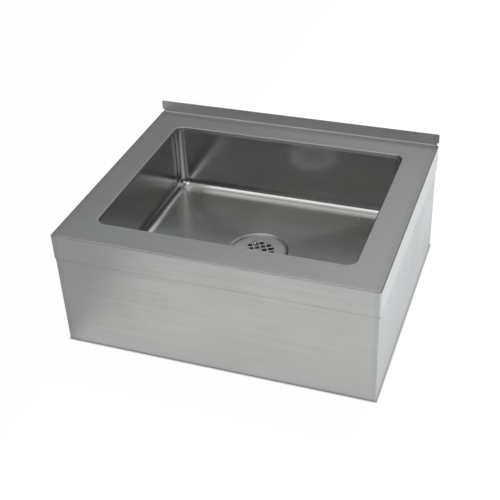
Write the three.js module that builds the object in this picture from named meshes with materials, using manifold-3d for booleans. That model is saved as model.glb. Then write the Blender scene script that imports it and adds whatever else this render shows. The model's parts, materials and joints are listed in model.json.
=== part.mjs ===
// Mop service sink: a low floor-standing stainless sink, 25 x 21 inches on plan, with a
// 20 x 16 x 6 inch coved bowl, a plain skirt on four sides, a short upturn along the wall
// and a strainer drain in the middle of the bowl.
//
// Millimetres, +Z up, +X along the long side, +Y towards the wall. The origin is on the
// floor, in the middle of the footprint.

import * as THREE from 'three';
import { mergeVertices } from 'three/addons/utils/BufferGeometryUtils.js';
import Module from 'manifold-3d';

// ---------------------------------------------------------------- driving dimensions

// Cabinet
const WIDTH = 635;             // outside, along X
const DEPTH = 533.4;           // outside, front edge to wall
const DECK_HEIGHT = 254;       // floor to the top of the deck
const UPTURN_HEIGHT = 25.4;    // upturn above the deck, along the wall
const SHEET = 1.6;             // 16 gauge stainless
const GAP = 0.3;               // between pieces that are welded or clamped together
const EDGE_BEND = 3;           // outside bend radius of the deck edge and of the skirts
const CORNER_ROUND = 3.6;      // plan radius of the ground deck corners
const FLANGE_DROP = 54;        // turned-down edge of the deck
const UPTURN_BEND = 3;         // inside radius where the deck turns up
const UPTURN_CORNER = 3;       // rounded top corners of the upturn
const RELIEF_WIDTH = 4;        // bend relief at each end of the upturn
const RELIEF_HEIGHT = 5;

// Skirt panels
const RETURN_WIDTH = 22;       // foot flange, turned in along the floor
const LAP_WIDTH = 18;          // vertical flange of a side panel, behind the front and rear panels
const LAP_BEND = 2.4;          // outside radius of that flange's bend

// Bowl
const OPENING_LENGTH = 508;    // along X, inside the lip
const OPENING_WIDTH = 406.4;   // along Y
const OPENING_CORNER = 19.05;
const BOWL_DEPTH = 152.4;      // deck top down to the floor of the bowl at the drain
const LIP_DROP = 9;            // turned-down lip of the deck inside the opening
const LIP_BEND = 3;            // outside radius of the lip's bend
const COVE = 19.05;            // radius between the walls and the floor
const FLOOR_CORNER = 1;        // least plan radius that the cove leaves at the floor's corners
const FLOOR_FALL = 2.5;        // fall of the bowl floor to the drain

// Drain
const RIM_RADIUS = 60;         // outside of the drain's rim
const RIM_WIDTH = 3.2;
const RIM_PROUD = 0.8;         // rim above the floor of the bowl
const SEAT_DEPTH = 4.1;        // rim top down to the seat of the strainer
const FLANGE_WALL = 1.9;
const CUP_RADIUS = 43.5;       // outside of the cup, which the locknut runs on
const CUP_WALL = 3.5;
const CUP_LENGTH = 32;         // straight part below the flange
const CUP_TAPER = 12;          // height of the taper from the cup to the outlet
const OUTLET_RADIUS = 30.15;   // outside of the 2 inch pipe outlet
const OUTLET_WALL = 4.4;
const OUTLET_LENGTH = 17;
const RECESS_FILLET = 1.5;     // pressed edges of the recess around the drain hole
const HOLE_PLAY = 1.5;         // drain hole wider than the cup, all round
const GASKET_HEIGHT = 3;
const GASKET_WIDTH = 11.5;     // beyond the cup
const WASHER_HEIGHT = 1;
const NUT_HEIGHT = 10;
const NUT_WIDTH = 7.5;         // beyond the cup, without its lugs
const NUT_PLAY = 0.6;          // locknut bore wider than the cup, all round
const NUT_LUGS = 6;
const NUT_LUG_REACH = 6;
const NUT_LUG_SHARE = 0.36;    // share of the rim that the lugs take

// Strainer
const STRAINER_PLAY = 2.4;     // gap between the plate and the rim of the drain
const STRAINER_HEIGHT = 1.9;
const STRAINER_EDGE = 0.5;     // broken edge of the plate
const HOLE_SIZE = 9;           // square holes
const HOLE_PITCH = 12.7;
const HOLE_REACH = 2;          // holes each way from the middle one
const HOLE_FIELD = 2.5;        // holes further out than this many pitches are left out
const CENTRE_HOLE = 3;         // radius of the round hole in the middle
const SLOT_STRETCH = 4.5;      // how far the four outer holes on the axes run out as slots
const STRAINER_TURN = 31;      // degrees the plate is turned in its seat
const SCREW_RADIUS = 2.4;
const SCREW_LENGTH = 15;
const SCREW_HEAD_RADIUS = 5.6;
const SCREW_HEAD_HEIGHT = 2.6;
const LUG_WIDTH = 13;          // lugs inside the cup that take the screws
const LUG_HEIGHT = 8;
const LUG_DROP = 2.5;          // seat down to the top of a lug

// ---------------------------------------------------------------- derived levels and places

const HALF_WIDTH = WIDTH / 2;
const HALF_DEPTH = DEPTH / 2;
const SKIRT_INSET = SHEET + GAP;                       // skirt face behind the deck's flange
const SKIRT_TOP = DECK_HEIGHT - EDGE_BEND - GAP;       // clear of the inside of the deck's bend
const BOWL_OFFSET = SHEET + GAP;                       // bowl wall behind the lip
const BOWL_TOP = DECK_HEIGHT - LIP_BEND - GAP;
const DRAIN_LEVEL = DECK_HEIGHT - BOWL_DEPTH;          // bowl floor at the drain
const FLOOR_LEVEL = DRAIN_LEVEL + FLOOR_FALL;          // bowl floor along the walls
const RIM_TOP = DRAIN_LEVEL + RIM_PROUD;
const SEAT_LEVEL = RIM_TOP - SEAT_DEPTH;
const FLANGE_UNDERSIDE = SEAT_LEVEL - FLANGE_WALL;
const RECESS_LEVEL = FLANGE_UNDERSIDE - GAP;           // bottom of the recess, upper face
const RECESS_RADIUS = RIM_RADIUS + 2 * GAP;
const DRAIN_HOLE = CUP_RADIUS + HOLE_PLAY;
const NUT_RADIUS = CUP_RADIUS + NUT_WIDTH;
const GASKET_RADIUS = CUP_RADIUS + GASKET_WIDTH;
const CUP_BOTTOM = FLANGE_UNDERSIDE - CUP_LENGTH;
const OUTLET_TOP = CUP_BOTTOM - CUP_TAPER;
const OUTLET_BOTTOM = OUTLET_TOP - OUTLET_LENGTH;
const GASKET_TOP = RECESS_LEVEL - SHEET - GAP;
const WASHER_TOP = GASKET_TOP - GASKET_HEIGHT - GAP;
const NUT_TOP = WASHER_TOP - WASHER_HEIGHT - GAP;
const STRAINER_RADIUS = RIM_RADIUS - RIM_WIDTH - STRAINER_PLAY;
const STRAINER_LEVEL = SEAT_LEVEL + GAP;
const SCREW_CIRCLE = HOLE_REACH * HOLE_PITCH + SLOT_STRETCH;   // screws sit in the slots' round ends
const SCREW_ANGLE = THREE.MathUtils.degToRad(STRAINER_TURN + 90);

// ---------------------------------------------------------------- fineness

const CORNER_STEPS = 6;        // steps round each plan corner of a loft
const SIDE_STEPS = 10;         // steps along each straight side of a loft
const BEND_STEPS = 3;
const COVE_STEPS = 6;
const TURN_STEPS = 48;         // steps round a revolved piece
const OVERRUN = 1;             // how far a cutting solid runs past what it cuts

// ---------------------------------------------------------------- solids

const wasm = await Module();
wasm.setup();

function toSolid(geometry) {
  const plain = geometry.clone();
  plain.deleteAttribute('normal');
  plain.deleteAttribute('uv');
  const merged = mergeVertices(plain, 1e-4);
  return new wasm.Manifold(new wasm.Mesh({
    numProp: 3,
    vertProperties: new Float32Array(merged.attributes.position.array),
    triVerts: new Uint32Array(merged.index.array),
  }));
}

function toGeometry(solid) {
  const mesh = solid.getMesh();
  const geometry = new THREE.BufferGeometry();
  geometry.setAttribute('position', new THREE.BufferAttribute(mesh.vertProperties, 3));
  geometry.setIndex(new THREE.BufferAttribute(mesh.triVerts, 1));
  geometry.computeVertexNormals();
  return geometry;
}

// A box between two opposite corners, for cutting.
function boxBetween(from, to) {
  const box = new THREE.Box3().setFromPoints([new THREE.Vector3(...from), new THREE.Vector3(...to)]);
  const size = box.getSize(new THREE.Vector3());
  const middle = box.getCenter(new THREE.Vector3());
  return toSolid(new THREE.BoxGeometry(...size.toArray()).translate(...middle.toArray()));
}

// An upright round cutter through a piece, centred on the given place.
function roundCutter(radius, length, x, y, z) {
  const geometry = new THREE.CylinderGeometry(radius, radius, length, TURN_STEPS / 2);
  return toSolid(geometry.rotateX(Math.PI / 2).translate(x, y, z));
}

// ---------------------------------------------------------------- lofts round the opening

// Places along a straight side, closer together in the middle, so that the steps come out
// even where they run in to the round drain.
function sidePlaces() {
  const spread = Math.PI / 4;
  const places = [];
  for (let step = 1; step < SIDE_STEPS; step += 1) {
    const angle = spread * (2 * step / SIDE_STEPS - 1);
    places.push((1 + Math.tan(angle) / Math.tan(spread)) / 2);
  }
  return places;
}

// One ring of a loft: a rounded rectangle at one height, counter-clockwise seen from above.
function roundedRing(halfX, halfY, radius, z) {
  const corners = [[1, 1], [-1, 1], [-1, -1], [1, -1]].map(([right, back], turn) => {
    const centre = new THREE.Vector3(right * (halfX - radius), back * (halfY - radius), z);
    const arc = [];
    for (let step = 0; step <= CORNER_STEPS; step += 1) {
      const angle = (turn + step / CORNER_STEPS) * Math.PI / 2;
      arc.push(new THREE.Vector3(Math.cos(angle), Math.sin(angle), 0).multiplyScalar(radius).add(centre));
    }
    return arc;
  });
  return corners.flatMap((arc, turn) => {
    const from = arc[CORNER_STEPS];
    const to = corners[(turn + 1) % corners.length][0];
    return [...arc, ...sidePlaces().map((place) => from.clone().lerp(to, place))];
  });
}

// A round ring whose points lie in the same directions as those of another ring.
function roundRing(radius, z, guide) {
  return guide.map((point) => {
    const angle = Math.atan2(point.y, point.x);
    return new THREE.Vector3(radius * Math.cos(angle), radius * Math.sin(angle), z);
  });
}

// The skin through a closed series of rings: a solid with a hole through its middle.
function loftRings(rings) {
  const count = rings[0].length;
  const positions = rings.flat().flatMap((point) => point.toArray());
  const triangles = [];
  rings.forEach((ring, level) => {
    const here = level * count;
    const there = ((level + 1) % rings.length) * count;
    for (let step = 0; step < count; step += 1) {
      const next = (step + 1) % count;
      triangles.push(here + step, here + next, there + next);
      triangles.push(here + step, there + next, there + step);
    }
  });
  const geometry = new THREE.BufferGeometry();
  geometry.setAttribute('position', new THREE.Float32BufferAttribute(positions, 3));
  geometry.setIndex(triangles);
  return geometry;
}

// Stations round a quarter bend, as [across, up] pairs, between two angles in degrees.
function bendStations([across, up], radius, from, to, steps) {
  const stations = [];
  for (let step = 0; step <= steps; step += 1) {
    const angle = THREE.MathUtils.degToRad(THREE.MathUtils.lerp(from, to, step / steps));
    stations.push([across + radius * Math.cos(angle), up + radius * Math.sin(angle)]);
  }
  return stations;
}

// ---------------------------------------------------------------- bent sheet

// The section of a sheet folded along an outline that follows its outer face. Every fold is
// square, turns left and has the same outside radius; the sheet lies left of the outline.
function foldedSection(outline, bend) {
  const points = outline.map(([x, y]) => new THREE.Vector2(x, y));
  const runs = points.slice(1).map((point, i) => point.clone().sub(points[i]).normalize());
  const leftOf = (run) => new THREE.Vector2(-run.y, run.x);
  const folds = runs.slice(1).map((run, i) => ({
    centre: points[i + 1].clone().addScaledVector(runs[i], -bend).addScaledVector(leftOf(runs[i]), bend),
    from: leftOf(runs[i]).negate().angle(),
  }));
  const first = points[0];
  const last = points[points.length - 1];
  const firstInner = first.clone().addScaledVector(leftOf(runs[0]), SHEET);
  const lastInner = last.clone().addScaledVector(leftOf(runs[runs.length - 1]), SHEET);
  const shape = new THREE.Shape();
  shape.moveTo(firstInner.x, firstInner.y);
  shape.lineTo(first.x, first.y);
  for (const { centre, from } of folds) {
    shape.absarc(centre.x, centre.y, bend, from, from + Math.PI / 2, false);
  }
  shape.lineTo(last.x, last.y);
  shape.lineTo(lastInner.x, lastInner.y);
  for (const { centre, from } of folds.toReversed()) {
    shape.absarc(centre.x, centre.y, bend - SHEET, from + Math.PI / 2, from, true);
  }
  shape.closePath();
  return shape;
}

const AXIS_X = new THREE.Vector3(1, 0, 0);
const AXIS_Y = new THREE.Vector3(0, 1, 0);
const AXIS_Z = new THREE.Vector3(0, 0, 1);

// Extrudes a section, centred, along the axis that is square to its own two axes.
function extrudeSection(shape, length, across, up) {
  const geometry = new THREE.ExtrudeGeometry(shape, {
    depth: length,
    bevelEnabled: false,
    curveSegments: BEND_STEPS,
  });
  geometry.translate(0, 0, -length / 2);
  const along = new THREE.Vector3().crossVectors(across, up);
  return geometry.applyMatrix4(new THREE.Matrix4().makeBasis(across, up, along));
}

// ---------------------------------------------------------------- deck

// Deck, edge flanges and opening lip as one loft, before the wall side is changed.
function deckPan() {
  const outside = ([inset, z]) => roundedRing(
    HALF_WIDTH - inset, HALF_DEPTH - inset, CORNER_ROUND - inset, z);
  const opening = ([offset, z]) => roundedRing(
    OPENING_LENGTH / 2 + offset, OPENING_WIDTH / 2 + offset, OPENING_CORNER + offset, z);
  const edge = [EDGE_BEND, DECK_HEIGHT - EDGE_BEND];
  const lip = [LIP_BEND, DECK_HEIGHT - LIP_BEND];
  const flangeBottom = DECK_HEIGHT - FLANGE_DROP;
  const lipBottom = DECK_HEIGHT - LIP_DROP;
  return toSolid(loftRings([
    outside([0, flangeBottom]),
    ...bendStations(edge, EDGE_BEND, 180, 90, BEND_STEPS).map(outside),
    ...bendStations(lip, LIP_BEND, 90, 180, BEND_STEPS).map(opening),
    opening([0, lipBottom]),
    opening([SHEET, lipBottom]),
    ...bendStations(lip, LIP_BEND - SHEET, 180, 90, BEND_STEPS).map(opening),
    ...bendStations(edge, EDGE_BEND - SHEET, 90, 180, BEND_STEPS).map(outside),
    outside([SHEET, flangeBottom]),
  ]));
}

// The strip along the wall where the deck turns up, with rounded top corners and a bend
// relief at each end.
function upturnStrip(startsAt) {
  const top = DECK_HEIGHT + UPTURN_HEIGHT;
  const underside = DECK_HEIGHT - SHEET;
  const section = foldedSection(
    [[startsAt, underside], [HALF_DEPTH, underside], [HALF_DEPTH, top]], UPTURN_BEND + SHEET);
  const face = new THREE.Shape();
  face.moveTo(-HALF_WIDTH, underside - OVERRUN);
  face.lineTo(HALF_WIDTH, underside - OVERRUN);
  face.absarc(HALF_WIDTH - UPTURN_CORNER, top - UPTURN_CORNER, UPTURN_CORNER, 0, Math.PI / 2, false);
  face.absarc(UPTURN_CORNER - HALF_WIDTH, top - UPTURN_CORNER, UPTURN_CORNER, Math.PI / 2, Math.PI, false);
  face.closePath();
  const strip = toSolid(extrudeSection(section, WIDTH + OVERRUN, AXIS_Y, AXIS_Z));
  const outline = toSolid(extrudeSection(face, 2 * DEPTH, AXIS_X, AXIS_Z));
  return [-1, 1].reduce((solid, side) => solid.subtract(boxBetween(
    [side * (HALF_WIDTH - RELIEF_WIDTH), startsAt - OVERRUN, underside - OVERRUN],
    [side * (HALF_WIDTH + OVERRUN), HALF_DEPTH + OVERRUN, DECK_HEIGHT + RELIEF_HEIGHT],
  )), strip.intersect(outline));
}

function deckGeometry() {
  const turnsUpAt = HALF_DEPTH - UPTURN_BEND - SHEET - OVERRUN;
  const wallSide = boxBetween(
    [CORNER_ROUND - HALF_WIDTH, turnsUpAt, 0],
    [HALF_WIDTH - CORNER_ROUND, HALF_DEPTH + OVERRUN, DECK_HEIGHT + OVERRUN]);
  return toGeometry(deckPan().subtract(wallSide).add(upturnStrip(turnsUpAt - OVERRUN)));
}

// ---------------------------------------------------------------- bowl

// The pressed bowl: straight walls, a cove all round, a floor in four planes that fall to a
// round recess, and the drain hole in the middle of the recess. The wall rings are rounded
// rectangles and the recess rings are circles; the floor is the loft between the two.
function bowlGeometry() {
  const wall = ([inset, z]) => roundedRing(
    OPENING_LENGTH / 2 + BOWL_OFFSET - inset,
    OPENING_WIDTH / 2 + BOWL_OFFSET - inset,
    Math.max(OPENING_CORNER + BOWL_OFFSET - inset, FLOOR_CORNER), z);
  const guide = wall([COVE, FLOOR_LEVEL]);
  const recess = ([radius, z]) => roundRing(radius, z, guide);
  const cove = [COVE, FLOOR_LEVEL + COVE];
  const shoulder = [
    RECESS_RADIUS + RECESS_FILLET + SHEET,
    DRAIN_LEVEL - RECESS_FILLET - SHEET,
  ];
  const foot = [RECESS_RADIUS - RECESS_FILLET, RECESS_LEVEL + RECESS_FILLET];
  return loftRings([
    wall([0, BOWL_TOP]),
    ...bendStations(cove, COVE, 180, 270, COVE_STEPS).map(wall),
    ...bendStations(shoulder, RECESS_FILLET + SHEET, 90, 180, BEND_STEPS).map(recess),
    ...bendStations(foot, RECESS_FILLET, 0, -90, BEND_STEPS).map(recess),
    recess([DRAIN_HOLE, RECESS_LEVEL]),
    recess([DRAIN_HOLE, RECESS_LEVEL - SHEET]),
    ...bendStations(foot, RECESS_FILLET + SHEET, -90, 0, BEND_STEPS).map(recess),
    ...bendStations(shoulder, RECESS_FILLET, 180, 90, BEND_STEPS).map(recess),
    ...bendStations(cove, COVE + SHEET, 270, 180, COVE_STEPS).map(wall),
    wall([-SHEET, BOWL_TOP]),
  ]);
}

// ---------------------------------------------------------------- skirt panels

const PANEL_X = HALF_WIDTH - SKIRT_INSET;        // outer faces of the side panels
const PANEL_Y = HALF_DEPTH - SKIRT_INSET;        // outer faces of the front and rear panels
const LAP_Y = PANEL_Y - SHEET - GAP;             // lap flanges, against the front and rear panels
const LAP_BOTTOM = EDGE_BEND + GAP;

// The upright block that the four panels are ground to: its corners follow the inside of the
// deck's corners.
function groundBlock() {
  const radius = CORNER_ROUND - SKIRT_INSET;
  const plan = new THREE.Shape();
  [[1, 1], [-1, 1], [-1, -1], [1, -1]].forEach(([right, back], corner) => {
    const from = corner * Math.PI / 2;
    const centre = [right * (PANEL_X - radius), back * (PANEL_Y - radius)];
    plan.absarc(...centre, radius, from, from + Math.PI / 2, false);
  });
  plan.closePath();
  return toSolid(extrudeSection(plan, 2 * DECK_HEIGHT + 2 * OVERRUN, AXIS_X, AXIS_Y));
}

// A long panel, shown as the front one: upright sheet with a foot flange turned in. The foot
// stops short of the side panels.
function longPanelGeometry() {
  const section = foldedSection(
    [[-PANEL_Y, SKIRT_TOP], [-PANEL_Y, 0], [RETURN_WIDTH - PANEL_Y, 0]], EDGE_BEND);
  const sheet = toSolid(extrudeSection(section, 2 * PANEL_X + OVERRUN, AXIS_Y, AXIS_Z));
  const panel = sheet.intersect(groundBlock());
  return toGeometry([-1, 1].reduce((solid, side) => solid.subtract(boxBetween(
    [side * (PANEL_X - EDGE_BEND - GAP), SHEET - PANEL_Y, -OVERRUN],
    [side * (PANEL_X + OVERRUN), RETURN_WIDTH + OVERRUN - PANEL_Y, LAP_BOTTOM],
  )), panel));
}

// A side panel, shown as the right one: the upright sheet is folded in at both ends, behind
// the long panels, and its foot flange butts against theirs.
function sidePanelGeometry() {
  const uprightHeight = SKIRT_TOP - LAP_BOTTOM;
  const plan = foldedSection([
    [PANEL_X - LAP_WIDTH, -LAP_Y],
    [PANEL_X, -LAP_Y],
    [PANEL_X, LAP_Y],
    [PANEL_X - LAP_WIDTH, LAP_Y],
  ], LAP_BEND);
  const upright = extrudeSection(plan, uprightHeight, AXIS_X, AXIS_Y)
    .translate(0, 0, LAP_BOTTOM + uprightHeight / 2);
  const footSection = foldedSection(
    [[PANEL_X - RETURN_WIDTH, 0], [PANEL_X, 0], [PANEL_X, LAP_BOTTOM + OVERRUN]], EDGE_BEND);
  const foot = toSolid(extrudeSection(footSection, 2 * (LAP_Y - LAP_BEND), AXIS_X, AXIS_Z));
  const buttAt = PANEL_Y - RETURN_WIDTH - GAP;
  return toGeometry([-1, 1].reduce((solid, end) => solid.subtract(boxBetween(
    [PANEL_X - RETURN_WIDTH - OVERRUN, end * buttAt, -OVERRUN],
    [PANEL_X - EDGE_BEND, end * (PANEL_Y + OVERRUN), SHEET + OVERRUN / 2],
  )), foot).add(toSolid(upright)));
}

// ---------------------------------------------------------------- drain

// Revolves a closed outline of [radius, height] stations about the vertical axis.
function revolve(outline) {
  const points = [...outline, outline[0]].map(([radius, z]) => new THREE.Vector2(radius, z));
  return new THREE.LatheGeometry(points, TURN_STEPS).rotateX(Math.PI / 2);
}

// Two lugs inside the cup, each with a hole for a strainer screw.
function screwLugs() {
  const reach = CUP_RADIUS - CUP_WALL / 2;
  const lug = new THREE.Shape();
  lug.moveTo(reach, -LUG_WIDTH / 2);
  lug.lineTo(reach, LUG_WIDTH / 2);
  lug.absarc(SCREW_CIRCLE, 0, LUG_WIDTH / 2, Math.PI / 2, Math.PI * 3 / 2, false);
  lug.closePath();
  const blank = toSolid(extrudeSection(lug, LUG_HEIGHT, AXIS_X, AXIS_Y));
  const tapped = blank.subtract(roundCutter(SCREW_RADIUS + GAP, 2 * LUG_HEIGHT, SCREW_CIRCLE, 0, 0));
  return [0, Math.PI].map((turn) => toSolid(toGeometry(tapped)
    .translate(0, 0, SEAT_LEVEL - LUG_DROP - LUG_HEIGHT / 2)
    .rotateZ(SCREW_ANGLE + turn)));
}

// The cast body: a rimmed flange in the recess, a cup through the hole, and a pipe outlet.
function drainBodyGeometry() {
  const cupBore = CUP_RADIUS - CUP_WALL;
  const outletBore = OUTLET_RADIUS - OUTLET_WALL;
  const rimMiddle = [RIM_RADIUS - RIM_WIDTH / 2, RIM_TOP - RIM_WIDTH / 2];
  const flangeCorner = [RIM_RADIUS - FLANGE_WALL, SEAT_LEVEL];
  const [first, ...lugs] = [toSolid(revolve([
    [cupBore, SEAT_LEVEL - FLANGE_WALL],
    [cupBore + FLANGE_WALL, SEAT_LEVEL],
    [RIM_RADIUS - RIM_WIDTH, SEAT_LEVEL],
    ...bendStations(rimMiddle, RIM_WIDTH / 2, 180, 0, 2 * BEND_STEPS),
    ...bendStations(flangeCorner, FLANGE_WALL, 0, -90, BEND_STEPS),
    [CUP_RADIUS, FLANGE_UNDERSIDE],
    [CUP_RADIUS, CUP_BOTTOM],
    [OUTLET_RADIUS, OUTLET_TOP],
    [OUTLET_RADIUS, OUTLET_BOTTOM],
    [outletBore, OUTLET_BOTTOM],
    [outletBore, OUTLET_TOP],
    [cupBore, CUP_BOTTOM],
  ].toReversed())), ...screwLugs()];
  return toGeometry(lugs.reduce((solid, lug) => solid.add(lug), first));
}

// A flat ring round the cup.
function ringGeometry(radius, height, top) {
  const bore = CUP_RADIUS + GAP;
  return revolve([[bore, top - height], [radius, top - height], [radius, top], [bore, top]]);
}

// The locknut: a ring with lugs round its rim for a spanner or a drift.
function locknutGeometry() {
  const outline = new THREE.Shape();
  const lugTurn = 2 * Math.PI / NUT_LUGS;
  for (let lug = 0; lug < NUT_LUGS; lug += 1) {
    const start = lug * lugTurn;
    const end = start + NUT_LUG_SHARE * lugTurn;
    outline.absarc(0, 0, NUT_RADIUS + NUT_LUG_REACH, start, end, false);
    outline.absarc(0, 0, NUT_RADIUS, end, start + lugTurn, false);
  }
  outline.closePath();
  const blank = toSolid(extrudeSection(outline, NUT_HEIGHT, AXIS_X, AXIS_Y));
  const bored = blank.subtract(roundCutter(CUP_RADIUS + NUT_PLAY, 2 * NUT_HEIGHT, 0, 0, 0));
  return toGeometry(bored).translate(0, 0, NUT_TOP - NUT_HEIGHT / 2);
}

// ---------------------------------------------------------------- strainer

// Outline of one hole of the plate, square to the grid; a slot runs on outwards with a round
// end, where a screw can sit.
function gridHole(column, row) {
  const half = HOLE_SIZE / 2;
  const isSlot = Math.max(Math.abs(column), Math.abs(row)) === HOLE_REACH && column * row === 0;
  const hole = new THREE.Shape();
  hole.moveTo(-half, half);
  hole.lineTo(-half, -half);
  if (isSlot) {
    hole.absarc(SLOT_STRETCH, 0, half, -Math.PI / 2, Math.PI / 2, false);
  } else {
    hole.lineTo(half, -half);
    hole.lineTo(half, half);
  }
  hole.closePath();
  return { hole, turn: isSlot ? Math.atan2(row, column) : 0 };
}

function strainerPlateGeometry() {
  const disc = new THREE.Shape().absarc(0, 0, STRAINER_RADIUS, 0, Math.PI * 2, false);
  const plate = toSolid(new THREE.ExtrudeGeometry(disc, {
    depth: STRAINER_HEIGHT - 2 * STRAINER_EDGE,
    bevelThickness: STRAINER_EDGE,
    bevelSize: STRAINER_EDGE,
    bevelOffset: -STRAINER_EDGE,
    bevelSegments: 1,
    curveSegments: TURN_STEPS / 2,
  }).translate(0, 0, STRAINER_EDGE));
  const cutLength = 3 * STRAINER_HEIGHT;
  const cutters = [roundCutter(CENTRE_HOLE, cutLength, 0, 0, 0)];
  for (let column = -HOLE_REACH; column <= HOLE_REACH; column += 1) {
    for (let row = -HOLE_REACH; row <= HOLE_REACH; row += 1) {
      const distance = Math.hypot(column, row);
      if (distance > 0 && distance < HOLE_FIELD) {
        const { hole, turn } = gridHole(column, row);
        cutters.push(toSolid(extrudeSection(hole, cutLength, AXIS_X, AXIS_Y)
          .rotateZ(turn)
          .translate(column * HOLE_PITCH, row * HOLE_PITCH, 0)));
      }
    }
  }
  const grille = cutters.reduce((solid, cutter) => solid.subtract(cutter), plate);
  return toGeometry(grille).rotateZ(THREE.MathUtils.degToRad(STRAINER_TURN));
}

// A domed screw, its head's underside at zero height.
function screwGeometry() {
  const domeSteps = BEND_STEPS + 1;
  const dome = [];
  for (let step = 0; step <= domeSteps; step += 1) {
    const angle = (step / domeSteps) * Math.PI / 2;
    dome.push(new THREE.Vector2(SCREW_HEAD_RADIUS * Math.cos(angle), SCREW_HEAD_HEIGHT * Math.sin(angle)));
  }
  dome[domeSteps].x = 0;
  const outline = [
    new THREE.Vector2(0, -SCREW_LENGTH),
    new THREE.Vector2(SCREW_RADIUS, -SCREW_LENGTH),
    new THREE.Vector2(SCREW_RADIUS, 0),
    ...dome,
  ];
  return new THREE.LatheGeometry(outline, TURN_STEPS / 2).rotateX(Math.PI / 2);
}

// ---------------------------------------------------------------- materials

const steel = (color, roughness) => new THREE.MeshStandardMaterial({ color, roughness, metalness: 1 });
const BRUSHED = steel(0xb6b8b4, 0.38);       // deck and skirts
const SATIN = steel(0xa9aaa6, 0.3);          // bowl
const CAST = steel(0xc2c3c0, 0.28);          // drain body and strainer
const BRIGHT = steel(0xd8d9d6, 0.15);        // screws
const BRASS = steel(0xb08d4a, 0.45);         // locknut
const RUBBER = new THREE.MeshStandardMaterial({ color: 0x262626, roughness: 0.85, metalness: 0 });
const FIBRE = new THREE.MeshStandardMaterial({ color: 0x8a6a4a, roughness: 0.9, metalness: 0 });

// ---------------------------------------------------------------- assembly

function piece(name, geometry, material) {
  const mesh = new THREE.Mesh(geometry, material);
  mesh.name = name;
  return mesh;
}

function cabinet() {
  const group = new THREE.Group();
  const rear = piece('rear_skirt', longPanelGeometry(), BRUSHED);
  rear.rotation.z = Math.PI;
  const left = piece('left_skirt', sidePanelGeometry(), BRUSHED);
  left.rotation.z = Math.PI;
  group.add(
    piece('deck', deckGeometry(), BRUSHED),
    piece('bowl', bowlGeometry(), SATIN),
    piece('front_skirt', longPanelGeometry(), BRUSHED),
    rear,
    piece('right_skirt', sidePanelGeometry(), BRUSHED),
    left,
  );
  return group;
}

function drain() {
  const group = new THREE.Group();
  group.add(
    piece('drain_body', drainBodyGeometry(), CAST),
    piece('drain_gasket', ringGeometry(GASKET_RADIUS, GASKET_HEIGHT, GASKET_TOP), RUBBER),
    piece('friction_washer', ringGeometry(NUT_RADIUS, WASHER_HEIGHT, WASHER_TOP), FIBRE),
    piece('drain_locknut', locknutGeometry(), BRASS),
  );
  return group;
}

// The plate and the two screws that hold it lift out of the drain together.
function strainer() {
  const group = new THREE.Group();
  group.position.z = STRAINER_LEVEL;
  group.add(piece('strainer_plate', strainerPlateGeometry(), CAST));
  [0, 1].forEach((index) => {
    const screw = piece(`strainer_screw_${index + 1}`, screwGeometry(), BRIGHT);
    const angle = SCREW_ANGLE + index * Math.PI;
    screw.position.set(
      SCREW_CIRCLE * Math.cos(angle), SCREW_CIRCLE * Math.sin(angle), STRAINER_HEIGHT + GAP);
    group.add(screw);
  });
  return group;
}

const sink = new THREE.Group();
sink.add(cabinet(), drain(), strainer());

export default sink;
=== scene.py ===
# %% [markdown]
# A mop service sink in stainless sheet, built round its engineering model. The model gives every
# size, so the script starts by loading it, and each visible piece is then made again in the same
# place with the finish that the real one has. All lengths are metres, +Z is up and +Y points to
# the wall that the sink stands against.

# %% Load the frame
import json
import math

import bmesh
import bpy
from mathutils import Matrix, Vector

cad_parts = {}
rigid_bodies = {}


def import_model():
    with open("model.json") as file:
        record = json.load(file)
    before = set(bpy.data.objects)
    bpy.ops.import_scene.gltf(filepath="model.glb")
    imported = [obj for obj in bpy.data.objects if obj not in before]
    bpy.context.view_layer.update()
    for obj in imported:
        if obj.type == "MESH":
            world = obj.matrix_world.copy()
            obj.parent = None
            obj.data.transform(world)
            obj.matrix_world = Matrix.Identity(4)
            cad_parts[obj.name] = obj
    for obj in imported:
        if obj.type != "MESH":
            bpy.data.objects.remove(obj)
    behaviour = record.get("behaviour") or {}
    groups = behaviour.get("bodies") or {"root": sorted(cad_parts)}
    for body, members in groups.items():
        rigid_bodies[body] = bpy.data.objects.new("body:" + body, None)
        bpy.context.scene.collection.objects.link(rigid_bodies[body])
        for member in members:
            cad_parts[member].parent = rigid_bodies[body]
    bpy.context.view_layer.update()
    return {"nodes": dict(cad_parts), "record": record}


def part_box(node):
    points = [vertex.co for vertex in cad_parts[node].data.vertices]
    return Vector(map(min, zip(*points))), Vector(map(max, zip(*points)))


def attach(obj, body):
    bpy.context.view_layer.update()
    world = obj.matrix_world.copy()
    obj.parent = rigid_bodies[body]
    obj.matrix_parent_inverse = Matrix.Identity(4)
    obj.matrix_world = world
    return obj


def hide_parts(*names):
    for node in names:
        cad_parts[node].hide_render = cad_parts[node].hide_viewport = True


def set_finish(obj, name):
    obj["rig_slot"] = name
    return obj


for leftover in list(bpy.data.objects):
    bpy.data.objects.remove(leftover)
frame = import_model()
print("frame nodes:", len(frame["nodes"]))

# %% [markdown]
# Sizes. What the frame can tell is read from it: the corner points of a node, and the level of the
# deck from the mount that lies on it. What a box can't tell, such as a bend radius or the gauge of
# the sheet, is a named size in millimetres.

# %% Sizes of the sheet metal
MM = 0.001
TINY = 0.01 * MM                # less than this apart counts as level or flush
TOUCHING = 0.002 * MM           # points nearer than this are one point
SHEET = 1.6 * MM
FIT = 0.3 * MM                  # gap that the frame keeps between neighbours
deck_low, deck_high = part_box("deck")
bowl_low, bowl_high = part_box("bowl")
mounts = {mount["name"]: mount["pos_m"] for mount in frame["record"]["mounts"]}

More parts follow.
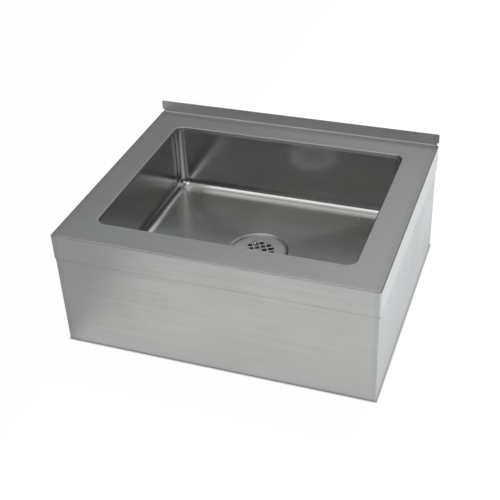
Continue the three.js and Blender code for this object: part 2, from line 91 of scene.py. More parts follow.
HALF_LENGTH = deck_high.x
HALF_DEPTH = deck_high.y
UPTURN_TOP = deck_high.z
FLANGE_FOOT = deck_low.z
DECK_TOP = mounts["deck_top"][2]
EDGE_BEND = 3 * MM
CORNER_ROUND = 3.6 * MM
UPTURN_BEND = 3 * MM            # inside radius of the upturn's bend
UPTURN_CORNER = 3 * MM
RELIEF_HEIGHT = 5 * MM          # cut beside the upturn's foot, above the deck

WALL_X = bowl_high.x - SHEET    # inner faces of the bowl walls
WALL_Y = bowl_high.y - SHEET
BOWL_TOP = bowl_high.z
LIP_OFFSET = SHEET + FIT
LIP_DROP = 9 * MM
LIP_BEND = 3 * MM
OPENING_CORNER = 19.05 * MM
print(f"deck {2 * HALF_LENGTH:.4f} x {2 * HALF_DEPTH:.4f} m, top at {DECK_TOP:.4f} m")

# %% [markdown]
# Bent sheet. Every sheet piece starts as its good side only, with no thickness: a flat shape whose
# edges are pulled out to walls, and whose fold lines are then rounded with a bevel. Solidify gives
# the gauge behind that skin, so both faces stay parallel round the bends, and a small bevel breaks
# the sheared edges. Modelling the solid directly would mean keeping two skins parallel by hand.

# %% Helpers for skins
FOLD_STEPS = 6
EDGE_BREAK = 0.25 * MM
SHARP = math.radians(50)        # folds sharper than this stay a sharp line


def picked(made, kind):
    return [item for item in made["geom"] if isinstance(item, kind)]


def pull(skin, edges, move):
    """Extrudes edges by a move and gives back the new outer edges."""
    made = bmesh.ops.extrude_edge_only(skin, edges=edges)
    moved = picked(made, bmesh.types.BMVert)
    bmesh.ops.translate(skin, vec=move, verts=moved)
    return [edge for edge in picked(made, bmesh.types.BMEdge) if set(edge.verts) <= set(moved)]


def fold(skin, edges, radius, steps=FOLD_STEPS):
    bmesh.ops.bevel(skin, geom=edges, offset=radius, offset_type="OFFSET", segments=steps,
                    profile=0.5, affect="EDGES", material=-1)


def round_corners(skin, corners, radius, steps):
    return bmesh.ops.bevel(skin, geom=corners, offset=radius, offset_type="OFFSET",
                           segments=steps, profile=0.5, affect="VERTICES", material=-1)


def edges_where(skin, test):
    """The edges whose two ends both pass a test on their place."""
    return [edge for edge in skin.edges if all(test(vert.co) for vert in edge.verts)]


def faces_where(skin, test):
    return [face for face in skin.faces if test(face.calc_center_median())]


def cut(skin, place, direction, test=lambda at: True):
    """Cuts the faces that pass the test along a plane, and removes nothing."""
    faces = faces_where(skin, test)
    edges = {edge for face in faces for edge in face.edges}
    verts = {vert for face in faces for vert in face.verts}
    bmesh.ops.bisect_plane(skin, geom=[*faces, *edges, *verts], dist=TINY,
                           plane_co=place, plane_no=direction)


def remove_faces(skin, test):
    bmesh.ops.delete(skin, geom=faces_where(skin, test), context="FACES")


def rounded_outline(skin, half_x, half_y, radius, level, steps, side_cuts=0):
    """A flat rounded rectangle as a closed loop of edges, with no face in it."""
    made = bmesh.ops.create_grid(skin, x_segments=1, y_segments=1, size=1)
    bmesh.ops.scale(skin, vec=(half_x, half_y, 1), verts=made["verts"])
    bmesh.ops.translate(skin, vec=(0, 0, level), verts=made["verts"])
    plate = round_corners(skin, made["verts"], radius, steps)["verts"][0].link_faces[0]
    if side_cuts:
        sides = [edge for edge in plate.edges if edge.calc_length() > radius]
        bmesh.ops.subdivide_edges(skin, edges=sides, cuts=side_cuts)
        plate = sides[0].link_faces[0]
    outline = list(plate.edges)
    bmesh.ops.delete(skin, geom=[plate], context="FACES_ONLY")
    return outline


def face_towards(skin, direction, test):
    """Makes the normals agree, with the faces that pass the test looking along the direction."""
    bmesh.ops.recalc_face_normals(skin, faces=skin.faces)
    looks = sum(face.normal.dot(direction) * face.calc_area() for face in faces_where(skin, test))
    if looks < 0:
        bmesh.ops.reverse_faces(skin, faces=skin.faces)


def give_gauge(skin):
    """Adds the sheet's thickness behind its good side."""
    bmesh.ops.solidify(skin, geom=skin.faces[:], thickness=SHEET)


def break_edges(skin, width=EDGE_BREAK, steps=2, above=-1):
    """Rounds the outward sharp edges above a level, and marks the inward ones as creases."""
    outward = [edge for edge in skin.edges if edge.calc_face_angle_signed(0) > SHARP
               and (edge.verts[0].co.z + edge.verts[1].co.z) / 2 > above]
    fold(skin, outward, width, steps)
    for edge in skin.edges:
        edge.smooth = edge.calc_face_angle(0) < SHARP


# %% [markdown]
# Brushed steel shows its grain, and the grain belongs to the sheet: it runs along the length of the
# piece and turns down with the flanges. So each piece gets a UV map in metres, U along the grain and
# V across it. It is laid face by face from the two directions that the face spans, which is the
# unfolded sheet with hardly any distortion, and the materials read it instead of a projection.

# %% Grain map and finished pieces
# For faces that look along x, y or z: the direction of the grain, then the one across it.
ALONG_LENGTH = {"x": "yz", "y": "xz", "z": "xy"}
TURNED_DOWN = {"x": "zy", "y": "xz", "z": "xy"}
LEVEL_FROM = 0.71               # how far up a face looks before it counts as level sheet


def lay_grain(skin, spans, level_from=LEVEL_FROM):
    """Lays the grain map of a skin; faces that look up or down take that of a level sheet."""
    layer = skin.loops.layers.uv.new("grain")
    for face in skin.faces:
        side = "x" if abs(face.normal.x) > abs(face.normal.y) else "y"
        along, across = spans["z" if abs(face.normal.z) > level_from else side]
        for loop in face.loops:
            place = loop.vert.co
            loop[layer].uv = (getattr(place, along), getattr(place, across))


def finish_piece(name, skin, body, slot, nodes=()):
    """Turns a bmesh into a shown piece that rides on a body and stands for its CAD nodes."""
    bmesh.ops.remove_doubles(skin, verts=skin.verts, dist=TOUCHING)
    mesh = bpy.data.meshes.new(name)
    skin.to_mesh(mesh)
    skin.free()
    mesh.shade_smooth()
    piece = bpy.data.objects.new(name, mesh)
    bpy.context.scene.collection.objects.link(piece)
    piece.modifiers.new("flat faces stay flat", "WEIGHTED_NORMAL").keep_sharp = True
    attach(piece, body)
    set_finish(piece, slot)
    if nodes:
        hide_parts(*nodes)
    print(f"{name}: {len(mesh.polygons)} faces, rides on {body}")
    return piece


# %% [markdown]
# The deck is one sheet. Its outline and the opening are two rounded rectangles with the same number
# of corner steps, so bridging them gives one clean quad for each step. The lip round the opening and
# the flanges round the outside are pulled down from it and their fold lines rounded.

# %% Deck plate, lip and flanges
PLAN_STEPS = 12                 # steps round a corner, as seen from above


def deck_plate():
    skin = bmesh.new()
    outline = rounded_outline(skin, HALF_LENGTH, HALF_DEPTH, CORNER_ROUND, DECK_TOP, PLAN_STEPS)
    opening = rounded_outline(
        skin, WALL_X - LIP_OFFSET, WALL_Y - LIP_OFFSET, OPENING_CORNER, DECK_TOP, PLAN_STEPS)
    bmesh.ops.bridge_loops(skin, edges=outline + opening)
    pull(skin, opening, (0, 0, -LIP_DROP))
    pull(skin, outline, (0, 0, FLANGE_FOOT - DECK_TOP))
    fold(skin, opening, LIP_BEND)
    fold(skin, outline, EDGE_BEND)
    return skin


# %% [markdown]
# Along the wall the sheet turns up instead of down. On the press the sheet is first notched beside
# the bend, so that the upturn can rise past the flange corners. The model does the same: the strip
# between the corner stubs is cut away, a new strip is pulled out and up from the cut, and above the
# notch it is pulled out sideways to the full length.

# %% Upturn along the wall
NOTCH_DEPTH = 1 * MM            # the notch runs this far in past the bend


def turn_up_wall_side(skin):
    free_x = HALF_LENGTH - CORNER_ROUND
    face_y = HALF_DEPTH - SHEET
    free_y = face_y - UPTURN_BEND - NOTCH_DEPTH
    cut(skin, (0, free_y, 0), (0, 1, 0))
    for side in (-1, 1):
        cut(skin, (side * free_x, 0, 0), (1, 0, 0), lambda at: at.y > free_y)
    remove_faces(skin, lambda at: at.y > free_y and abs(at.x) < free_x)
    start = edges_where(skin, lambda at: abs(at.y - free_y) < TINY and at.z > DECK_TOP - TINY
                        and abs(at.x) < free_x + TINY)
    bend = pull(skin, start, (0, face_y - free_y, 0))
    low = pull(skin, bend, (0, 0, RELIEF_HEIGHT))
    pull(skin, low, (0, 0, UPTURN_TOP - DECK_TOP - RELIEF_HEIGHT))
    for side in (-1, 1):
        end = edges_where(skin, lambda at: abs(at.x - side * free_x) < TINY
                          and at.z > DECK_TOP + RELIEF_HEIGHT - TINY)
        pull(skin, end, (side * CORNER_ROUND, 0, 0))
    corners = [vert for vert in skin.verts
               if abs(vert.co.x) > HALF_LENGTH - TINY and vert.co.z > UPTURN_TOP - TINY]
    round_corners(skin, corners, UPTURN_CORNER, FOLD_STEPS)
    fold(skin, bend, UPTURN_BEND)


deck = deck_plate()
turn_up_wall_side(deck)
face_towards(deck, Vector((0, 0, 1)), lambda at: abs(at.z - DECK_TOP) < TINY)
give_gauge(deck)
break_edges(deck)
lay_grain(deck, TURNED_DOWN)
finish_piece("deck_sheet", deck, "sink", "cabinet_steel", ["deck"])

# %% [markdown]
# The bowl is pressed from one sheet and its corners are polished out. It is a loft: rounded
# rectangles that step in round the cove, bridged one to the next, so that each corner closes to a
# ball shape. From the foot of the cove the floor falls to the drain, and each of its points is drawn
# in along its own direction to the round recess, which leaves the four faint creases that a real
# floor has. A box with bevelled edges could not give corners that get tighter down the cove.

# %% Bowl
COVE = 19.05 * MM
COVE_STEPS = 14
SIDE_CUTS = 40                  # along each straight wall, so that the floor can turn to a circle
FLOOR_FALL = 2.5 * MM
BOWL_DEPTH = 152.4 * MM
DRAIN_LEVEL = DECK_TOP - BOWL_DEPTH
FLOOR_LEVEL = DRAIN_LEVEL + FLOOR_FALL
RECESS_LEVEL = bowl_low.z + SHEET
WALL_CORNER = OPENING_CORNER + LIP_OFFSET
drain_low, drain_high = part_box("drain_body")
RIM_RADIUS = drain_high.x
RECESS_RADIUS = RIM_RADIUS + 2 * FIT
SHOULDER_BEND = 3.1 * MM
FOOT_BEND = 1.5 * MM
DRAIN_HOLE = 45 * MM
CROWDED = 0.6 * MM              # points that meet this near on the way to the drain are joined
FLOOR_LOOKS_UP = 0.995          # the cove keeps the grain of the walls


def wall_ring(skin, inset, level):
    return rounded_outline(skin, WALL_X - inset, WALL_Y - inset, WALL_CORNER - inset, level,
                           PLAN_STEPS, SIDE_CUTS)


def draw_in(skin, edges, radius, level):
    """Extrudes a loop of edges to a circle, each point along its own direction."""
    made = bmesh.ops.extrude_edge_only(skin, edges=edges)
    moved = picked(made, bmesh.types.BMVert)
    for vert in moved:
        vert.co = (*vert.co.xy.normalized() * radius, level)
    bmesh.ops.remove_doubles(skin, verts=moved, dist=CROWDED)
    return edges_where(skin, lambda at: abs(at.z - level) < TINY
                       and abs(at.xy.length - radius) < TINY)


def bowl_skin():
    skin = bmesh.new()
    ring = wall_ring(skin, 0, BOWL_TOP)
    for step in range(COVE_STEPS + 1):
        angle = math.radians(90 * step / COVE_STEPS)
        inset = COVE * (1 - math.cos(angle))
        next_ring = wall_ring(skin, inset, FLOOR_LEVEL + COVE * (1 - math.sin(angle)))
        bmesh.ops.bridge_loops(skin, edges=ring + next_ring)
        ring = next_ring
    shoulder = draw_in(skin, ring, RECESS_RADIUS, DRAIN_LEVEL)
    foot = pull(skin, shoulder, (0, 0, RECESS_LEVEL - DRAIN_LEVEL))
    draw_in(skin, foot, DRAIN_HOLE, RECESS_LEVEL)
    fold(skin, shoulder, SHOULDER_BEND)
    fold(skin, foot, FOOT_BEND)
    return skin


bowl = bowl_skin()
face_towards(bowl, Vector((0, 0, 1)), lambda at: at.z < FLOOR_LEVEL)
give_gauge(bowl)
break_edges(bowl)
lay_grain(bowl, ALONG_LENGTH, FLOOR_LOOKS_UP)
finish_piece("pressed_bowl", bowl, "sink", "bowl_steel", ["bowl"])

# %% [markdown]
# The skirt is four panels. The front and rear ones are plain sheets with a foot turned in, and cover
# the corners. The side ones are folded in behind them at both ends. Each starts as one edge, the top
# of the sheet, which is pulled down, in along the floor, and, on the side panels, round the corners.

# %% Skirt panels
skirt_low, skirt_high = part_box("front_skirt")
lap_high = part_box("right_skirt")[1]
PANEL_X = lap_high.x
PANEL_Y = -skirt_low.y
SKIRT_TOP = skirt_high.z
RETURN_WIDTH = skirt_high.y - skirt_low.y
LAP_Y = lap_high.y
LAP_WIDTH = 18 * MM
LAP_BEND = 2.4 * MM
LAP_BOTTOM = EDGE_BEND + FIT
FOOT_END_X = PANEL_X - EDGE_BEND - FIT          # ends of the long panels' feet
BUTT_Y = PANEL_Y - RETURN_WIDTH - FIT           # ends of the side panels' feet
GROUND_RADIUS = 1.2 * MM                        # the corner weld is ground over


def new_edge(skin, start, end):
    return skin.edges.new([skin.verts.new(start), skin.verts.new(end)])


def trim_foot(skin, axis, reach):
    """Cuts the flat foot of a panel off beyond a reach to both ends."""
    normal = Vector((axis == "x", axis == "y", 0))
    for end in (-1, 1):
        cut(skin, end * reach * normal, normal, lambda at: at.z < TINY)
    remove_faces(skin, lambda at: at.z < TINY and abs(getattr(at, axis)) > reach)


def long_panel(side):
    """The front panel with side -1, the rear one with side 1."""
    skin = bmesh.new()
    top = new_edge(skin, (-PANEL_X, side * PANEL_Y, SKIRT_TOP), (PANEL_X, side * PANEL_Y, SKIRT_TOP))
    foot = pull(skin, [top], (0, 0, -SKIRT_TOP))
    pull(skin, foot, (0, -side * RETURN_WIDTH, 0))
    fold(skin, foot, EDGE_BEND)
    trim_foot(skin, "x", FOOT_END_X)
    face_towards(skin, Vector((0, side, 0)), lambda at: at.z > EDGE_BEND)
    give_gauge(skin)
    for end in (-1, 1):
        ground = edges_where(skin, lambda at: end * at.x > PANEL_X - TINY
                             and side * at.y > PANEL_Y - TINY)
        fold(skin, ground, GROUND_RADIUS)
    break_edges(skin)
    return skin


def side_panel(side):
    """The right panel with side 1, the left one with side -1."""
    skin = bmesh.new()
    face_x = side * PANEL_X
    top = new_edge(skin, (face_x, -LAP_Y, SKIRT_TOP), (face_x, LAP_Y, SKIRT_TOP))
    pull(skin, [top], (0, 0, LAP_BOTTOM - SKIRT_TOP))
    for end in (-1, 1):
        corner = edges_where(skin, lambda at: end * at.y > LAP_Y - TINY)
        pull(skin, corner, (-side * LAP_WIDTH, 0, 0))
        fold(skin, corner, LAP_BEND)
    low = edges_where(skin, lambda at: at.z < LAP_BOTTOM + TINY and abs(at.x - face_x) < TINY)
    foot = pull(skin, low, (0, 0, -LAP_BOTTOM))
    pull(skin, foot, (-side * RETURN_WIDTH, 0, 0))
    fold(skin, foot, EDGE_BEND)
    trim_foot(skin, "y", BUTT_Y)
    face_towards(skin, Vector((side, 0, 0)), lambda at: at.z > LAP_BOTTOM)
    give_gauge(skin)
    break_edges(skin, above=LAP_BOTTOM + TINY)
    return skin


panels = {"front_skirt": long_panel(-1), "rear_skirt": long_panel(1),
          "right_skirt": side_panel(1), "left_skirt": side_panel(-1)}
for node, panel in panels.items():
    lay_grain(panel, ALONG_LENGTH)
    finish_piece(f"{node}_panel", panel, "sink", "cabinet_steel", [node])

# %% [markdown]
# The panels are joined at the four corners by a weld that is ground flush and blended, so the seam
# shows only as a soft line. Each weld is a thin upright bar in the groove behind the bend of the side
# panel. It is scraped from a cube, because nothing but its outer face is ever seen.

# %% Corner welds
WELD_BITE = 0.1 * MM            # how far the bar runs into the sheet beside it
WELD_EDGE = 0.1 * MM
WELD_DEPTH = LAP_BEND + 2 * WELD_BITE
UPRIGHT = {"x": "zy", "y": "zx", "z": "xy"}     # grinding marks run up and down


def corner_weld(skin, right, back):
    width = PANEL_Y - SHEET + WELD_BITE - (LAP_Y - LAP_BEND)
    made = bmesh.ops.create_cube(skin, size=1)["verts"]
    bmesh.ops.scale(skin, vec=(WELD_DEPTH, width, SKIRT_TOP - LAP_BOTTOM), verts=made)
    bmesh.ops.translate(skin, verts=made, vec=(
        right * (PANEL_X - WELD_DEPTH / 2), back * (LAP_Y - LAP_BEND + width / 2),
        (SKIRT_TOP + LAP_BOTTOM) / 2))


welds = bmesh.new()
for right in (-1, 1):
    for back in (-1, 1):
        corner_weld(welds, right, back)
break_edges(welds, WELD_EDGE, steps=1)
lay_grain(welds, UPRIGHT)
finish_piece("corner_welds", welds, "sink", "cabinet_steel")

# %% [markdown]
# The drain is turned and cast work. Each round piece is half of its section, drawn as a face in the
# upright plane with its corners rounded, whose outline is then spun a full turn about the drain.

# %% Round pieces
TURN_STEPS = 96
SECTION_STEPS = 5               # round each corner of a section
THREAD_STEPS = 32               # to one turn


def section_outline(skin, corners):
    """A closed outline from (radius, level, rounding) corners, in the plane y = 0."""
    verts = [skin.verts.new((radius, 0, level)) for radius, level, rounding in corners]
    section = skin.faces.new(verts)
    for vert, (radius, level, rounding) in zip(verts, corners):
        if rounding:
            made = round_corners(skin, [vert], rounding, SECTION_STEPS)["verts"]
            section = made[0].link_faces[0]
    outline = list(section.edges)
    bmesh.ops.delete(skin, geom=[section], context="FACES_ONLY")
    return outline


def spin_round(skin, outline, steps=TURN_STEPS):
    verts = list({vert for edge in outline for vert in edge.verts})
    bmesh.ops.spin(skin, geom=[*verts, *outline], cent=(0, 0, 0), axis=(0, 0, 1), dvec=(0, 0, 0),
                   angle=math.tau, steps=steps, use_merge=True)
    bmesh.ops.recalc_face_normals(skin, faces=skin.faces)


def turned(corners):
    """A full turn of a section."""
    skin = bmesh.new()
    spin_round(skin, section_outline(skin, corners))
    return skin


def thread(root, crest, pitch, low, high):
    """A helical ridge: a triangle spun upwards, a little further each step."""
    turns = (high - low) / pitch - 1
    skin = bmesh.new()
    ridge = [(root, low), (crest, low + pitch / 2), (root, low + pitch)]
    face = skin.faces.new([skin.verts.new((radius, 0, level)) for radius, level in ridge])
    bmesh.ops.spin(skin, geom=[face, *face.edges, *face.verts], cent=(0, 0, 0), axis=(0, 0, 1),
                   dvec=(0, 0, pitch / THREAD_STEPS), angle=math.tau * turns,
                   steps=round(THREAD_STEPS * turns), use_merge=False)
    bmesh.ops.recalc_face_normals(skin, faces=skin.faces)
    return skin


# %% [markdown]
# The body of the drain is one casting: a rim that stands just above the bowl floor, a flange that
# lies in the recess, the threaded cup and the pipe outlet. Its skin comes from one spin. The thread
# is a ridge of its own on the cup, because a spun outline could only give rings and not a helix.

# %% Drain body
RIM_WIDTH = 3.2 * MM
FLANGE_WALL = 1.9 * MM
CUP_RADIUS = 43.5 * MM
CUP_WALL = 3.5 * MM
CUP_LENGTH = 32 * MM
CUP_TAPER = 12 * MM
OUTLET_RADIUS = 30.15 * MM
OUTLET_WALL = 4.4 * MM
THREAD_DEPTH = 0.9 * MM
THREAD_PITCH = 2.2 * MM
THREAD_BITE = 0.2 * MM          # how far the ridge is sunk into the cup
THREAD_STOP = 2 * MM            # plain cup between the thread and the flange
CAST_EDGE = 0.6 * MM
ROUND_END = 0.49                # rounding that makes the end of a bar round, as a share of its width
plate_low, plate_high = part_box("strainer_plate")
RIM_TOP = drain_high.z
SEAT_LEVEL = plate_low.z - FIT
FLANGE_UNDERSIDE = SEAT_LEVEL - FLANGE_WALL
CUP_BOTTOM = FLANGE_UNDERSIDE - CUP_LENGTH
OUTLET_TOP = CUP_BOTTOM - CUP_TAPER
cup_bore = CUP_RADIUS - CUP_WALL
cup_root = CUP_RADIUS - THREAD_DEPTH
outlet_bore = OUTLET_RADIUS - OUTLET_WALL

drain_body = turned([
    (cup_bore, FLANGE_UNDERSIDE, CAST_EDGE),
    (cup_bore + FLANGE_WALL, SEAT_LEVEL, CAST_EDGE),
    (RIM_RADIUS - RIM_WIDTH, SEAT_LEVEL, 0),
    (RIM_RADIUS - RIM_WIDTH, RIM_TOP, ROUND_END * RIM_WIDTH),
    (RIM_RADIUS, RIM_TOP, ROUND_END * RIM_WIDTH),
    (RIM_RADIUS, FLANGE_UNDERSIDE, FLANGE_WALL),
    (cup_root, FLANGE_UNDERSIDE, 0),
    (cup_root, CUP_BOTTOM, CAST_EDGE),
    (OUTLET_RADIUS, OUTLET_TOP, CAST_EDGE),
    (OUTLET_RADIUS, drain_low.z, CAST_EDGE),
    (outlet_bore, drain_low.z, CAST_EDGE),
    (outlet_bore, OUTLET_TOP, CAST_EDGE),
    (cup_bore, CUP_BOTTOM, CAST_EDGE),
])
lay_grain(drain_body, TURNED_DOWN)
finish_piece("drain_casting", drain_body, "sink", "drain_steel", ["drain_body"])
cup_thread = thread(cup_root - THREAD_BITE, CUP_RADIUS, THREAD_PITCH,
                    CUP_BOTTOM + CAST_EDGE, FLANGE_UNDERSIDE - THREAD_STOP)
lay_grain(cup_thread, TURNED_DOWN)
finish_piece("drain_thread", cup_thread, "sink", "drain_steel")

# %% [markdown]
# Inside the cup two lugs are cast on for the screws of the strainer. A lug is flat with one round
# end and a tapped hole, so it is the face between two outlines, bridged and given its height.

# %% Screw lugs
STRAINER_TURN = math.radians(31)
LUG_WIDTH = 13 * MM
LUG_HEIGHT = 8 * MM
LUG_DROP = 2.5 * MM
LUG_EDGE = 0.4 * MM
SCREW_RADIUS = 2.4 * MM
END_STEPS = 10                  # round each half of a round end
HOLE_STEPS = 24                 # round a whole hole
screw_low, screw_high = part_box("strainer_screw_1")
screw_middle = (screw_low + screw_high) / 2
SCREW_CIRCLE = screw_middle.xy.length


def round_loop(skin, radius, steps, at=(0, 0, 0)):
    """A level circle of edges."""
    verts = bmesh.ops.create_circle(skin, segments=steps, radius=radius)["verts"]
    bmesh.ops.translate(skin, vec=at, verts=verts)
    return list({edge for vert in verts for edge in vert.link_edges})


def lug(skin, turn):
    """A lug that points in from the wall of the cup, turned to its screw."""
    reach = CUP_RADIUS - CUP_WALL / 2
    inner = SCREW_CIRCLE - LUG_WIDTH / 2
    level = SEAT_LEVEL - LUG_DROP
    made = bmesh.ops.create_grid(skin, x_segments=1, y_segments=1, size=0.5)["verts"]
    bmesh.ops.scale(skin, vec=(reach - inner, LUG_WIDTH, 1), verts=made)
    bmesh.ops.translate(skin, vec=((reach + inner) / 2, 0, level), verts=made)
    inward = [vert for vert in made if vert.co.x < reach - TINY]
    corners = round_corners(skin, inward, ROUND_END * LUG_WIDTH, END_STEPS)["verts"]
    plate = corners[0].link_faces[0]
    rim = list(plate.edges)
    bmesh.ops.delete(skin, geom=[plate], context="FACES_ONLY")
    rim += round_loop(skin, SCREW_RADIUS + FIT, HOLE_STEPS, (SCREW_CIRCLE, 0, level))
    filled = bmesh.ops.triangle_fill(skin, edges=rim, use_beauty=True)
    made = bmesh.ops.extrude_face_region(skin, geom=picked(filled, bmesh.types.BMFace))
    lowered = picked(made, bmesh.types.BMVert)
    bmesh.ops.translate(skin, vec=(0, 0, -LUG_HEIGHT), verts=lowered)
    everything = {vert for edge in rim for vert in edge.verts} | set(lowered)
    bmesh.ops.rotate(skin, verts=list(everything), cent=(0, 0, 0),
                     matrix=Matrix.Rotation(turn, 3, "Z"))


SCREW_TURN = STRAINER_TURN + math.pi / 2
lugs = bmesh.new()
for turn in (SCREW_TURN, SCREW_TURN + math.pi):
    lug(lugs, turn)
bmesh.ops.recalc_face_normals(lugs, faces=lugs.faces)
break_edges(lugs, LUG_EDGE)
lay_grain(lugs, TURNED_DOWN)
finish_piece("screw_lugs", lugs, "sink", "drain_steel")

# %% [markdown]
# Under the bowl a rubber gasket seals the drain, a fibre washer lets the nut turn without dragging
# it, and a brass nut with six lugs for a spanner clamps them. The first two are plain turned rings.
# The nut is a turned ring too, with the places of the lugs extruded out from its rim.

# %% Gasket, washer and locknut
NUT_LUGS = 6
NUT_LUG_SHARE = 0.36            # of the rim
NUT_LUG_REACH = 6 * MM
NUT_EDGE = 0.5 * MM
GASKET_EDGE = 0.7 * MM
WASHER_EDGE = 0.15 * MM


def flat_ring(node, bore, rounding):
    low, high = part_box(node)
    corners = [(bore, low.z), (high.x, low.z), (high.x, high.z), (bore, high.z)]
    return turned([(*corner, rounding) for corner in corners])


def grow_nut_lugs(skin, radius):
    """Extrudes the part of the rim that each lug takes out to its reach."""
    def in_lug(at):
        turn = math.atan2(at.y, at.x) / math.tau * NUT_LUGS
        return turn % 1 < NUT_LUG_SHARE and at.xy.length > radius - NUT_EDGE

    faces = faces_where(skin, in_lug)
    made = bmesh.ops.extrude_face_region(skin, geom=faces)
    grown = picked(made, bmesh.types.BMVert)
    share = (radius + NUT_LUG_REACH) / radius
    bmesh.ops.scale(skin, vec=(share, share, 1), verts=grown)
    bmesh.ops.delete(skin, geom=faces, context="FACES")


gasket = flat_ring("drain_gasket", CUP_RADIUS + FIT, GASKET_EDGE)
lay_grain(gasket, TURNED_DOWN)
finish_piece("gasket_ring", gasket, "sink", "gasket_rubber", ["drain_gasket"])
washer = flat_ring("friction_washer", CUP_RADIUS + FIT, WASHER_EDGE)
lay_grain(washer, TURNED_DOWN)
finish_piece("washer_ring", washer, "sink", "washer_fibre", ["friction_washer"])

nut_low, nut_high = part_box("drain_locknut")
NUT_BORE = CUP_RADIUS + 2 * FIT
NUT_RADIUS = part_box("friction_washer")[1].x
nut = turned([(NUT_BORE, nut_low.z, 0), (NUT_RADIUS, nut_low.z, 0),
              (NUT_RADIUS, nut_high.z, 0), (NUT_BORE, nut_high.z, 0)])
grow_nut_lugs(nut, NUT_RADIUS)
break_edges(nut, NUT_EDGE)
lay_grain(nut, TURNED_DOWN)
finish_piece("lugged_nut", nut, "sink", "nut_brass", ["drain_locknut"])

# %% [markdown]
# The strainer is a stamped round plate with a turned grid of square holes. The outlines of the plate
# and of each hole lie in one plane, filled at once, which leaves the holes open; then the filled
# face gets its height and the stamped edges are broken. The four outer holes on the axes run out as
# slots with a round end, where the two screws sit.

# %% Strainer plate
HOLE_HALF = 4.5 * MM
HOLE_PITCH = 12.7 * MM
HOLE_REACH = 2                  # rows to each side of the middle one
HOLE_FIELD = 2.5                # holes further out than this many pitches are left out
HOLE_CORNER = 0.9 * MM
STAMP_STEPS = 4                 # round each corner of a hole
CENTRE_HOLE = 3 * MM
SLOT_STRETCH = 4.5 * MM
STAMPED_EDGE = 0.35 * MM


def place_loop(skin, verts, move, turn):
    bmesh.ops.rotate(skin, verts=verts, cent=(0, 0, 0), matrix=Matrix.Rotation(turn, 3, "Z"))
    bmesh.ops.translate(skin, verts=verts, vec=move)


def grid_hole(skin, column, row):
    is_slot = max(abs(column), abs(row)) == HOLE_REACH and column * row == 0
    reach = HOLE_HALF + SLOT_STRETCH if is_slot else HOLE_HALF
    made = bmesh.ops.create_grid(skin, x_segments=1, y_segments=1, size=HOLE_HALF)["verts"]
    outer = [vert for vert in made if vert.co.x > 0]
    bmesh.ops.translate(skin, vec=(reach - HOLE_HALF, 0, 0), verts=outer)
    inner = [vert for vert in made if vert not in outer]
    round_corners(skin, inner, HOLE_CORNER, STAMP_STEPS)
    end_round, end_steps = HOLE_CORNER, STAMP_STEPS
    if is_slot:
        end_round, end_steps = 2 * ROUND_END * HOLE_HALF, END_STEPS
    hole = round_corners(skin, outer, end_round, end_steps)["verts"][0].link_faces[0]
    edges, verts = list(hole.edges), list(hole.verts)
    bmesh.ops.delete(skin, geom=[hole], context="FACES_ONLY")
    turn = math.atan2(row, column) if is_slot else 0
    place_loop(skin, verts, (column * HOLE_PITCH, row * HOLE_PITCH, 0), turn)
    return edges


def strainer_skin():
    skin = bmesh.new()
    loops = round_loop(skin, plate_high.x, 2 * TURN_STEPS)
    loops += round_loop(skin, CENTRE_HOLE, HOLE_STEPS)
    for column in range(-HOLE_REACH, HOLE_REACH + 1):
        for row in range(-HOLE_REACH, HOLE_REACH + 1):
            if 0 < math.hypot(column, row) < HOLE_FIELD:
                loops += grid_hole(skin, column, row)
    bmesh.ops.triangle_fill(skin, edges=loops, use_beauty=True)
    made = bmesh.ops.extrude_face_region(skin, geom=skin.faces[:])
    bmesh.ops.translate(skin, vec=(0, 0, plate_high.z - plate_low.z),
                        verts=picked(made, bmesh.types.BMVert))
    bmesh.ops.recalc_face_normals(skin, faces=skin.faces)
    place_loop(skin, skin.verts[:], (0, 0, plate_low.z), STRAINER_TURN)
    break_edges(skin, STAMPED_EDGE)
    return skin


strainer = strainer_skin()
lay_grain(strainer, ALONG_LENGTH)
strainer_disc = finish_piece(
    "strainer_disc", strainer, "strainer", "drain_steel", ["strainer_plate"])

# %% [markdown]
# Two screws hold the strainer. The head is a low dome with a slot, so the dome is spun and the slot
# is cut out of it by a Boolean, whose exact solver leaves clean edges. The shank carries a ridge
# that is spun with a rise, as on the cup.

# %% Strainer screws
HEAD_HEIGHT = 2.6 * MM
HEAD_RADIUS = 5.6 * MM
HEAD_FOOT = screw_high.z - HEAD_HEIGHT
SLOT_WIDTH = 1.3 * MM
SLOT_DEPTH = 1.2 * MM
SLOT_TURN = 0.6                 # radians: where the slot came to rest when it was tightened
SCREW_THREAD = 0.4 * MM
SCREW_PITCH = 1.0 * MM
SCREW_BITE = 0.1 * MM
SCREW_EDGE = 0.12 * MM
SHANK_PLAIN = 0.5 * MM          # below the head, with no thread
HEAD_SIDE = 0.35                # share of the head's height that stands upright
HEAD_CROWN = 0.62               # share of its radius that is nearly flat
HEAD_EDGE = 0.2 * MM
DOME_ROUND = 1.1 * MM
HEAD_STEPS = 48


